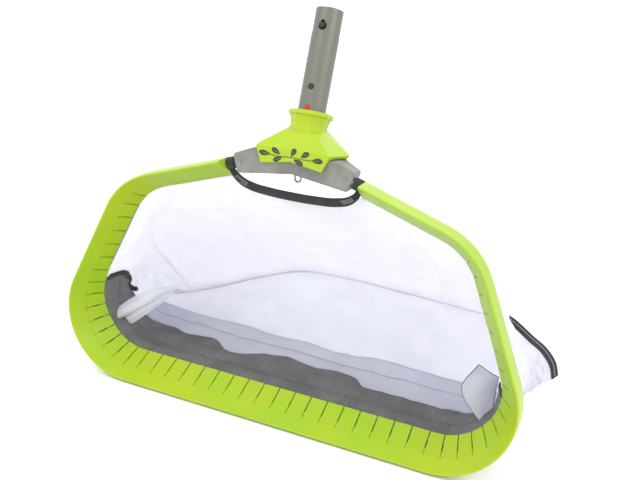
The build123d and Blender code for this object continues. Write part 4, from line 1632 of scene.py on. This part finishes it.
@dataclass
class Emblem:
    """A generic sprig of leaves on the plate's front, raised a fraction of a millimetre."""

    depth: float = 11.0
    proud: float = 0.30 * MM
    centre: tuple = (-0.5, 283.6)
    scale: float = 0.84
    leaves: tuple = (
        (-26.0, 0.5, 176.0, 15.0, 3.1), (-13.5, 2.0, 150.0, 12.5, 3.0), (-11.0, -1.2, 205.0, 12.0, 2.8),
        (0.5, 1.6, 62.0, 10.5, 3.0), (4.0, -1.6, -24.0, 13.0, 2.9), (12.5, 1.8, 34.0, 12.0, 3.0),
        (26.0, 0.5, 2.0, 14.0, 3.1),
    )

    def leaf(self, x: float, z: float, turn: float, length: float, half: float, side: int) -> np.ndarray:
        """One half of a leaf: its width swells and falls along the rib, like a sine of the length.

        Args:
            x: the leaf's root from the emblem's middle.
            z: the leaf's root above the emblem's middle.
            turn: direction of the rib, in degrees.
            length: length of the rib.
            half: greatest half-width.
            side: 1 or -1, which half.

        Returns:
            A grid of head points.
        """
        t = np.linspace(0.01, 0.99, 28)[None, :]
        s = np.linspace(0.10, 1.0, 6)[:, None]
        width = half * np.sin(pi * t**0.85) ** 0.9 + 0.05
        along = length * t + 0.8 * s * width
        aside = side * s * width + 0.9 * np.sin(pi * t) * 0.4
        a = radians(turn)
        px = self.centre[0] + self.scale * (x + along * cos(a) - aside * sin(a))
        pz = self.centre[1] + self.scale * (z + along * sin(a) + aside * cos(a))
        grid = np.stack(np.broadcast_arrays(px, self.depth - 0.12, pz), axis=-1)
        return grid if side > 0 else grid[::-1]

    def build(self) -> None:
        """Builds the sprig as one piece."""
        stock = Stock()
        for x, z, turn, length, half in self.leaves:
            for side in (-1, 1):
                add_sheet(stock, HEAD.place(self.leaf(x, z, turn, length, half, side)), self.proud)
        stem = smooth_line([(-27, -0.2), (-13, -0.6), (0, 0.4), (13, -0.2), (27, 0.4)], 90)
        points = np.stack([
            self.centre[0] + self.scale * stem[:, 0],
            np.full(90, self.depth - 0.1),
            self.centre[1] + self.scale * stem[:, 1],
        ], axis=-1)
        add_rings(stock, tube_rings(HEAD.place(points), circle(0.34 * MM, 6), np.array([0.0, -1.0, 0.0])))
        settle(stock.build("plate_leaf_emblem"), Finish.INK)


# ---------------------------------------------------------------- studio


@dataclass
class Studio:
    """Pale floor, soft light and the camera."""

    eye: tuple = (0.26817, -0.68832, 0.07571)
    azimuth: float = radians(19.94)
    elevation: float = radians(15.74)
    roll: float = radians(6.18)
    lens: float = 41.37
    sensor: float = 36.0
    near: float = 0.01
    floor_gap: float = 0.5 * MM
    floor_half: float = 6.0
    aim: tuple = (0.0, 0.05, -0.15)
    surround: float = 1.35
    lamps: tuple = (
        ("key", (-1.0, -1.5, 2.1), 1.5, 26.0), ("side", (2.1, -0.5, 1.5), 1.4, 15.0),
        ("back", (0.2, 2.0, 1.6), 1.8, 9.0),
    )  # name, place, side of the square, power

    def camera(self) -> None:
        """A level look turned by azimuth, tilted down by elevation and rolled about its own axis."""
        data = bpy.data.cameras.new("view")
        data.lens = self.lens
        data.sensor_width = self.sensor
        data.clip_start = self.near
        camera = linked("view", data)
        turn = Matrix.Rotation(self.azimuth, 4, "Z")
        tilt = Matrix.Rotation(pi / 2 - self.elevation, 4, "X")
        roll = Matrix.Rotation(self.roll, 4, "Z")
        camera.matrix_world = Matrix.Translation(self.eye) @ turn @ tilt @ roll
        bpy.context.scene.camera = camera

    def floor(self) -> None:
        """A square of pale floor just under the scoop's lowest point."""
        low = CAD_BOX[0].z - self.floor_gap
        h = self.floor_half
        stock = Stock()
        corners = np.array([(-h, -h, low), (h, -h, low), (h, h, low), (-h, h, low)])
        stock.add(corners, [np.array([[0, 1, 2, 3]])], [corners[None, :, :2]])
        floor = stock.build("studio_floor")
        floor.data.materials.append(PaleFloor().make())

    def lamp(self, name: str, place: tuple, size: float, power: float) -> None:
        """One soft square lamp aimed at the head.

        Args:
            name: the lamp's name.
            place: where it hangs.
            size: the square's side.
            power: in watts.
        """
        data = bpy.data.lights.new(name, "AREA")
        data.size = size
        data.energy = power
        lamp = linked(name, data)
        aim = Vector(self.aim) - Vector(place)
        lamp.matrix_world = Matrix.Translation(place) @ aim.to_track_quat("-Z", "Y").to_matrix().to_4x4()

    def build(self) -> None:
        """Sets the camera, the floor, the soft lamps and a white surround."""
        self.camera()
        self.floor()
        for lamp in self.lamps:
            self.lamp(*lamp)
        world = bpy.data.worlds.new("surround")
        world.use_nodes = True
        world.node_tree.nodes["Background"].inputs[0].default_value = (1.0, 1.0, 1.0, 1.0)
        world.node_tree.nodes["Background"].inputs[1].default_value = self.surround
        bpy.context.scene.world = world
        bpy.context.scene.view_settings.view_transform = "Standard"


def main() -> None:
    """Builds every sub-assembly in order."""
    logging.basicConfig(level=logging.INFO, format="%(name)s: %(message)s")
    Studio().build()
    for part in (HardParts(), Rim(), Strap(), Bag(), Emblem()):
        part.build()
        LOG.info("%s built", type(part).__name__)


if __name__ == "__main__":
    main()
